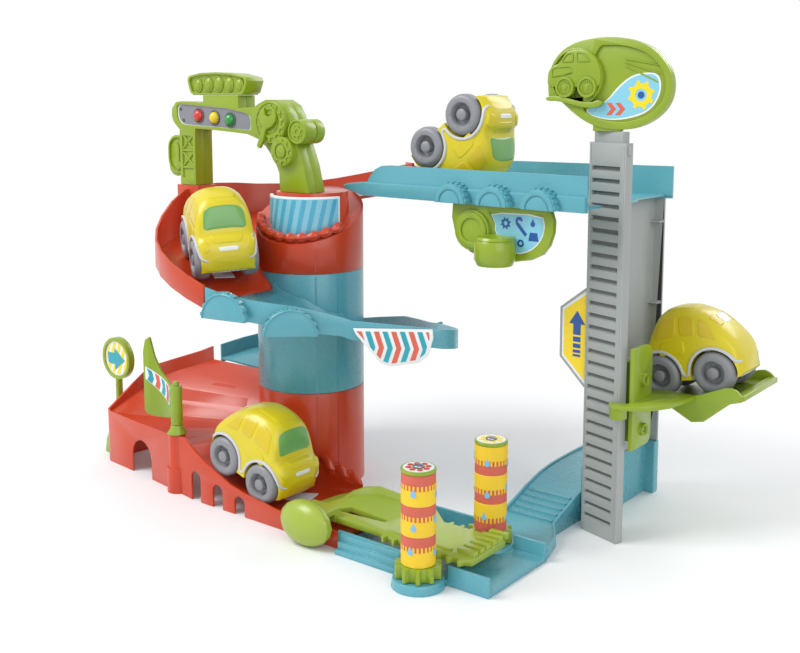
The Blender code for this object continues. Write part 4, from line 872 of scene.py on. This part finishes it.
def makeGatePrint():
    # the print follows the barrier's curve
    look = gateLook

    def onGate(share, height, out):
        across = look["face"] + look["sag"] * sin(pi * share) - look["thick"] - out
        return (look["left"] - look["reach"] * share, across, height)

    def strip(first, last, low, high, kink, out, thick, columns=5):
        rows = []
        for i in range(13):
            level = low + (high - low) * i / 12
            push = kink * (1 - abs(2 * level - 1))
            row = []
            for k in range(columns):
                share = first + (last - first) * k / (columns - 1) - push
                bottom, top = (base + more * share ** 1.25 for base, more in (look["low"], look["high"]))
                row.append((share, bottom + (top - bottom) * level))
            rows.append(row)
        return wrapped(rows, onGate, out, out + thick)

    addPiece("gateSheet", strip(0.05, 0.95, 0, 1, 0, -0.5, 1.25, 25), "white", "gate")
    for paint, shares in look["bands"].items():
        bands = [strip(share, share + 0.1, 0.06, 0.94, look["lean"], 0.6, 0.45) for share in shares]
        addPiece(f"gateBands{paint}", joined(*bands), f"sticker{paint}", "gate")


roundSignLook = dict(front=-80, face=2.0, middle=(-236, 112), disc=20.8, field=19, step=9.6, half=2.6, lean=9,
                     arrow=[(-252, 118), (-239, 118), (-239, 124), (-221, 111), (-239, 98), (-239, 105),
                            (-246, 104.5), (-251, 105.5)])


def makeRoundSign():
    look = roundSignLook
    sheet = place(0, look["front"]) @ upright
    half, lean = look["half"], look["lean"]
    printOn("roundSignSheet", sheet, look["face"], "white", [ringPath(*look["middle"], look["disc"], 48)])
    stripes = []
    for i in range(-4, 5):
        left = look["middle"][0] + look["step"] * i - half
        right = look["middle"][0] + look["step"] * i + half
        stripes.append([(left - lean, 88), (right - lean, 88), (right + lean, 136), (left + lean, 136)])
    field = ringPath(*look["middle"], look["field"], 48)
    addPiece("roundSignStripes", clipped(stripes, 2.2, 2.6, sheet, field), "stickerYellow")
    printOn("roundSignArrow", sheet, look["face"], "stickerTeal", [look["arrow"]], 3)


def roundColumn(x):
    # places on an upright column whose middle is at x, by degrees, height and radius
    return lambda turn, z, r: (x + r * cos(radians(turn)), r * sin(radians(turn)), z)


columnSignLook = dict(x=4, radius=45.5, levels=5, start=217, sweep=132, steps=32, top=312.4, border=2.6,
                      stripes=9, first=219, every=14, lean=10, stripeTop=311.6, stripeBorder=3.4)


def makeColumnSign():
    # a striped band round the sloping collar
    look = columnSignLook
    radius, levels, onCollar = look["radius"], look["levels"], roundColumn(look["x"])

    def rowsOf(turns, top, border, lean):
        rows = []
        for level in range(levels + 1):
            row = []
            for turn in turns:
                turn += lean * level / levels
                x, y, z = onCollar(turn, 0, radius)
                low = 292 - 0.15 * x + 0.42 * y + 0.5 + border    # the collar's slope
                row.append((turn, low + (top - low) * level / levels))
            rows.append(row)
        return rows

    turns = [look["start"] + look["sweep"] * i / look["steps"] for i in range(look["steps"] + 1)]
    field = wrapped(rowsOf(turns, look["top"], look["border"], 0), onCollar, radius - 0.2, radius + 0.25)
    addPiece("columnSignField", field, "skyBlue")
    stripes = []
    for i in range(look["stripes"]):
        turns = [look["first"] + look["every"] * i + 2 * k for k in range(4)]
        rows = rowsOf(turns, look["stripeTop"], look["stripeBorder"], look["lean"])
        stripes.append(wrapped(rows, onCollar, radius, radius + 0.2 + 0.25))
    addPiece("columnSignStripes", joined(*stripes), "stickerBlue")


rollerLook = dict(radius=15.0, wall=1.3, low=21.3, high=102.7, bands=6, fingers=26, finger=(0.9, 1.7, 4.6),
                  drops=4, drop=2.7, disc=(105.9, 106.2, 106.5), petals=8, petalReach=8.6, petal=2.7,
                  rollers=(("front", (263.0, -152.0), 0, "petalRed"),
                           ("rear", (270.0, -50.0), 1, "stickerYellow")))


def makeRollers():
    look = rollerLook
    r, low, high = look["radius"], look["low"], look["high"]
    tall = (high - low) / look["bands"]
    for name, spot, first, petalPaint in look["rollers"]:
        body, where = f"roller_{name}", place(*spot)
        bore = r - look["wall"]
        core = lathe([(14.2, high), (r, high - 0.2), (r, low + 0.2), (14.2, low), (bore, low), (bore, high),
                      (14.2, high)], 64, where)
        addPiece(f"{body}Sleeve", core, "brushCoral", body, 40, (f"roller_sleeve_{name}",))
        bands, fingers, drops = [], [], []
        for band in range(look["bands"]):
            top = high - tall * band
            if band % 2 == first:
                # yellow fingers reach into the coral from below or from above
                level = top - 2.2 if first else top - tall + 2.2
                spot = where @ place(0, 0, level)
                fingers.append(ringOf(look["fingers"], r - 0.1, look["finger"], "brushYellow", spot))
            else:
                out, end = r + 0.3, top - tall
                bands.append(lathe([(r, top), (out, top - 0.3), (out, end + 0.3), (r, end)], 64, where))
            if band % 2 == 0:
                middle = top - tall * (0.98 if first else 1.02)
                for i in range(look["drops"]):
                    turn = Matrix.Rotation(radians(93 * i + 41 * band + 20), 4, "Z")
                    side = where @ turn @ place(0, -r + 0.6, middle + 3 * sin(5 * i + band)) @ upright
                    drops.append(flatPlate([dropPath(0, -2.5, look["drop"])], 0.0, 1.35, side, 0.3, 1))
        addPiece(f"{body}Bands", joined(*bands, *fingers), "brushYellow", body, 40)
        addPiece(f"{body}Drops", joined(*drops), "brushBlue", body, 40)
        base, top, tip = look["disc"]
        disc = flatPlate([ringPath(0, 0, 13.6, 48), ringPath(0, 0, 5.6, 24)], base, top, where)
        addPiece(f"{body}Disc", disc, "white", body)
        spots = ringPath(0, 0, look["petalReach"], look["petals"])
        petals = [([ringPath(*spot, look["petal"], 16)], top, tip) for spot in spots]
        addPiece(f"{body}Petals", joined(*plates(where, *petals)), petalPaint, body)


gantryLook = dict(
    front=-18,
    panel=[(-177, 407), (-177, 396), (-173, 389), (-166, 386.4), (-57, 382), (-57, 396), (-62, 400),
           (-97, 406), (-172, 410)],
    lamps=((-141.0, 397.0), (-115.0, 394.9), (-90.0, 392.9)), bezel=(8.4, 7.2),
    screws=((-171.5, 404), (-167, 391.6)), lattice=(339.0, 358.5),
    spanner=[(-40, 366), (-36, 363), (-30, 372), (-26, 384), (-17, 387), (-11, 394), (-11, 403), (-17, 408),
             (-16, 400), (-21, 396), (-27, 399), (-28, 408), (-34, 402), (-35, 393), (-31, 386), (-35, 376)],
    large=(-22, 391), small=(-5, 361), right=(16, 382),
    lip=[(-152, 423.5), (-148, 420.4), (-70, 420.4), (-65, 423), (-60.4, 435), (-62.4, 438.8), (-84, 443.2),
         (-110, 444.8), (-136, 444.2), (-154, 441), (-156.6, 437)],
    bar=(-110, 432), hoops=(6.2, 5.2), hoopStep=16.5,
    paddleLeft=-173.4, paddle=[(-1, 332), (-1, 371), (-12, 373.6), (-22, 372), (-29, 364), (-29, 342),
                               (-22, 332), (-12, 329)])


def oval(x, z, wide, high):
    return [(x + wide * cos(t * 0.1745), z + high * sin(t * 0.1745)) for t in range(36)]


def makeGantryDetails():
    look = gantryLook
    sheet = place(0, look["front"]) @ upright
    panel = roundedPath(look["panel"], 4)
    printOn("lampPanelRim", sheet, 11.0, "white", [drawnIn(panel, 0.2), drawnIn(panel, 1.9)])
    printOn("lampPanel", sheet, 11.0, "panelGrey", [drawnIn(panel, 1.8)])
    bezels = [(ringPaths(*spot, *look["bezel"], 32), 11.2, 12.6, 0.2) for spot in look["lamps"]]
    addPiece("lampBezels", joined(*plates(sheet, *bezels)), "recessGrey")
    screws = [([ringPath(*spot, 1.9, 16), ringPath(*spot, 0.9, 6)], 11.2, 12.0, 0.2)
              for spot in look["screws"]]
    addPiece("lampPanelScrews", joined(*plates(sheet, *screws)), "recessGrey")
    lattice = []
    for low in look["lattice"]:
        for bar in ((-168.5, low + 1, -151.5, low + 16, 2.2), (-151.5, low + 1, -168.5, low + 16, 2.2),
                    (-169, low - 1, -151, low - 1, 2.6)):
            lattice.append(([barPath(*bar)], 10.8, 12.6, 0.4, 1))
    addPiece("postLattice", joined(*plates(sheet, *lattice)), "lime")
    large, small, right = look["large"], look["small"], look["right"]
    gears = plates(sheet, ([gearPath(*large, 16.4, 14, 3.2), ringPath(*large, 13.4, 40)], 17.6, 19.2, 0.4, 1),
                   (ringPaths(*large, 10.6, 9.0, 40), 17.6, 18.8, 0.4, 1),
                   (ringPaths(*large, 21.6, 20.4, 56), 17.6, 18.8, 0.4, 1),
                   ([roundedPath(look["spanner"], 2.2)], 17.6, 21.6, 1.0),
                   ([gearPath(*small, 10.6, 10, 3.0), ringPath(*small, 8.8, 32)], 19.0, 20.6, 0.4, 1),
                   ([ringPath(*small, 6.4, 32)], 19.0, 21.4, 0.8),
                   ([barPath(-9.4, 363, -0.6, 359, 1.4)], 21.0, 22.0, 0.3, 1),
                   (ringPaths(*right, 12.6, 10.8, 40), 16.6, 18.2, 0.5),
                   ([gearPath(*right, 5.0, 7, 2.2), ringPath(*right, 2.6, 16)], 16.6, 18.0, 0.4, 1))
    addPiece("armGears", joined(*gears), "lime")
    x, z = look["bar"]
    inside = [(x + (px - x) * 0.93, z + (pz - z) * 0.84) for px, pz in look["lip"]]
    hoops = [([roundedPath(look["lip"], 3), roundedPath(inside, 3)], 12.6, 14.0, 0.6)]
    for i in range(5):
        wide = look["hoops"][0 if i in (1, 2, 3) else 1]
        spot = -140 + look["hoopStep"] * i, z - 0.7 * abs(i - 2)
        pair = [oval(*spot, wide + 1.2, wide + 2.8), oval(*spot, wide, wide + 1.6)]
        hoops.append((pair, 11.2, 12.8, 0.4, 1))
    addPiece("barHoops", joined(*plates(sheet, *hoops)), "lime")
    edge = roundedPath([(look["paddleLeft"] + px, pz) for px, pz in look["paddle"]], 7)
    addPiece("paddleRim", flatPlate([edge, drawnIn(edge, 2.4)], 3.4, 6.0, sheet, 0.6), "lime", smooth=40)


# half tyres: those on the bridge by x, those on the spiral by x, y, z and their turn
tyreLook = dict(bridge=(188.5, 238.3, 290.7), spiral=((29, -152, 204, 9), (84, -120, 190, 42)),
                bridgeLug=(2.6, 2.8, 4.4), spiralLug=(2.2, 3.4, 5.2))


def makeTyreReliefs():
    # rings, hubs and tread lugs on the half tyres
    look = tyreLook
    parts = []
    for x in look["bridge"]:
        y = 16 - 16 * (x - 67) / 269 + 1
        spot = place(x, y, 315.6, radians(-3.6)) @ upright
        parts += plates(spot, ([halfRing(18.2, 13.4)], 12.6, 14.3, 0.7), ([halfRing(11.8)], 12.6, 13.7, 0.5))
        for out, start in ((3.4, 4), (9.4, 11)):
            parts.append(ringOf(8, 19.2, look["bridgeLug"], "teal", spot @ place(0, 0, out), start, 108))
    for x, y, z, turn in look["spiral"]:
        spot = place(x, y, z, radians(turn)) @ upright
        parts += plates(spot, ([halfRing(26.2, 24.6)], 5.6, 6.8, 0.5, 1))
        parts.append(ringOf(10, 27.0, look["spiralLug"], "teal", spot @ place(0, 0, 3.0), 9, 162))
    addPiece("tyreReliefs", joined(*parts), "teal", smooth=40)


towerLook = dict(
    spot=(337, 42), turn=-17.5, louvres=30, louvreStep=11.6, slotShadeBox=(-18.8, 15.2, -1.6, -0.9, 14.0, 4.6),
    ridges=((19.6, 21.4, -5.1, -4.2, 2, 375, 0.3), (-22.2, -20.8, -5.1, -4.2, 2, 375, 0.3),
            (21.2, 25.6, -2.2, 1.6, 366, 374, 0.5), (-25.4, -21.8, -2.2, 1.6, 364, 376, 0.5),
            (-17.6, 18.4, -4.1, -3.1, 377, 386.6, 0.3)),
    brace=(74, 168, 96, 216, 3), braceX=316.4, ringSpot=(371.4, 58), rings=(156, 108),
    ring=[(5.2, 0.9), (6.0, 0.4), (6.2, -1.4), (4.6, -1.4), (4.6, 0.4), (5.2, 0.9)])


def makeTowerDetails():
    look = towerLook
    turned = place(*look["spot"], 0, radians(look["turn"]))
    # painted shade: thin dark strips laid in the louvre slots, where the slots' backs fall in shadow
    x0, x1, y0, y1, low, tall = look["slotShadeBox"]
    levels = [low + look["louvreStep"] * i for i in range(look["louvres"])]
    louvreShadeStrips = joined(*[box(x0, x1, y0, y1, level, level + tall) for level in levels])
    addPiece("louvreShade", moved(louvreShadeStrips, turned), "louvrePaintedShade", smooth=0)
    ridges = moved(joined(*[box(*ridge) for ridge in look["ridges"]]), turned)
    side = place(look["braceX"], 0, 0) @ Matrix.Rotation(radians(90), 4, "Z") @ upright
    brace = flatPlate([barPath(*look["brace"])], 0, 2.2, side, 0.4)
    addPiece("towerRidges", joined(ridges, brace), "grey")
    spots = [place(*look["ringSpot"], z, radians(90), "Y") for z in look["rings"]]
    rings = [lathe(look["ring"], 32, spot) for spot in spots]
    ribs = [barPath(368 + 3 * i, 34 + 4 * i, 392 + i, 70 + 6 * i, 1.0) for i in range(3)]
    ribs = plates(Matrix(), *[([rib], 137.7, 138.6, 0.25, 1) for rib in ribs])
    addPiece("liftReliefs", joined(*rings, *ribs), "lime", "lift", 40)


# the node that carries each white dash, its four corners from above and its thickness
roadMarks = (("top_loop", ((-54, -99), (-43, -82), (-25.5, -88), (-34, -109)), 0.6),
             ("base_ramp", ((56, -103), (53, -81), (70, -67), (75.5, -86)), 0.5))


def laidOn(node, corners, thick, steps=8):
    # a thin mark that follows the road under its four corners
    road = nodes[node]
    points = [road.matrix_world @ v.co for v in road.data.vertices]
    surface = BVHTree.FromPolygons(points, [p.vertices[:] for p in road.data.polygons])
    first, second, third, fourth = (Vector(corner) for corner in corners)
    rows = []
    for i in range(steps + 1):
        low, high = first.lerp(fourth, i / steps), second.lerp(third, i / steps)
        spots = [low.lerp(high, k / steps) for k in range(steps + 1)]
        hits = [surface.ray_cast(Vector((x, y, 310)) * mm, Vector((0, 0, -1)))[0] for x, y in spots]
        rows.append([hit / mm + Vector((0, 0, thick)) for hit in hits])
    build = bmesh.new()
    build.from_mesh(gridMesh(rows))
    made = bmesh.ops.extrude_face_region(build, geom=build.faces[:])
    for vert in (v for v in made["geom"] if isinstance(v, bmesh.types.BMVert)):
        vert.co.z -= (thick + 0.6) * mm
    bmesh.ops.recalc_face_normals(build, faces=build.faces)
    return meshOf(build, "mark")


seamLook = dict(radius=57.9, thick=0.5, half=0.7, turns=(318, 342),
                parts=(("red", 2, 105), ("teal", 109, 233), ("red", 237, 262)))


def makeSeams():
    # upright seams on the column
    look = seamLook
    for i, (paint, low, high) in enumerate(look["parts"]):
        seams = []
        for turn in look["turns"]:
            levels = (low, (low + high) / 2, high)
            rows = [[(turn + side, level) for side in (-look["half"], 0, look["half"])] for level in levels]
            seams.append(wrapped(rows, roundColumn(0), look["radius"], look["radius"] + look["thick"]))
        addPiece(f"columnSeam{i}", joined(*seams), paint)


makeTopSign()
makeBridgeSign()
makeArrowSign()
makeBowlSign()
makeGatePrint()
makeRoundSign()
makeColumnSign()
makeRollers()
makeGantryDetails()
makeTyreReliefs()
makeTowerDetails()
for i, mark in enumerate(roadMarks):
    addPiece(f"roadMark{i}", laidOn(*mark), "white", smooth=20)
makeSeams()
print("signs made")


# floor, lights and camera, in metres

stageLook = dict(floor=(240, 242, 244), cloud=(244, 246, 248), spot=(0.05, 0, -0.0002), size=1.2, solid=0.62,
                 rough=0.6, sky=0.6,
                 lights=(("keyLight", (-0.9, -1.3, 1.9), (0.05, -0.05, 0.15), 1.2, 38.0),
                         ("fillLight", (1.9, -1.0, 1.1), (0.05, 0.0, 0.2), 1.6, 14.0),
                         ("rimLight", (0.6, 1.8, 1.6), (0.05, 0.0, 0.2), 1.2, 16.0)),
                 eye=(0.80, -0.865, 0.42), lookDown=7.927, heading=38, lens=48.96, shift=-0.1)


def makeStage():
    look = stageLook
    build = bmesh.new()
    bmesh.ops.create_grid(build, x_segments=1, y_segments=1, size=look["size"])
    floor = holderOf(meshOf(build, "studioFloor"), "studioFloor")
    floor.location = look["spot"]
    made = finish(bpy.data.materials.new("studioFloor"))
    spot = made.place()
    away = made.node("ShaderNodeVectorMath", {"operation": "LENGTH"}, {0: spot}, "Value")
    fade = (away - look["solid"]) / (look["size"] - look["solid"])    # 0 in the middle, 1 at the rim
    colour = made.blend(made.noise(spot, 3.0), shade(*look["floor"]), shade(*look["cloud"]))
    made.set(Base_Color=colour, Roughness=look["rough"],
             Alpha=made.node("ShaderNodeClamp", {}, {"Value": 1 - fade}))
    floor.data.materials.append(made.owner)

    # the sky is white to the camera and in reflections, and dimmer as a light
    studio = finish(bpy.data.worlds.new("studio"), "Background")
    bpy.context.scene.world = studio.owner
    camera, glossy, through = (studio.node("ShaderNodeLightPath", output=f"Is {kind} Ray")
                               for kind in ("Camera", "Glossy", "Transmission"))
    seen = camera + glossy + through
    level = studio.node("ShaderNodeMapRange", {}, {"Value": seen, "To Min": look["sky"], "To Max": 1.0})
    studio.set(Color=(1, 1, 1, 1), Strength=level)
    for name, spot, aim, size, power in look["lights"]:
        lamp = bpy.data.lights.new(name, "AREA")
        lamp.size = size
        lamp.energy = power
        lit = holderOf(lamp, name)
        lit.location = spot
        lit.rotation_euler = (Vector(aim) - Vector(spot)).to_track_quat("-Z", "Y").to_euler()

    lens = bpy.data.cameras.new("camera")
    lens.lens = look["lens"]
    lens.sensor_width = 36.0
    lens.shift_y = look["shift"]
    eye = holderOf(lens, "camera")
    eye.location = look["eye"]
    eye.rotation_euler = (radians(90 - look["lookDown"]), 0, radians(look["heading"]))
    bpy.context.scene.camera = eye
    bpy.context.scene.view_settings.view_transform = "Standard"


makeStage()
print("stage set")
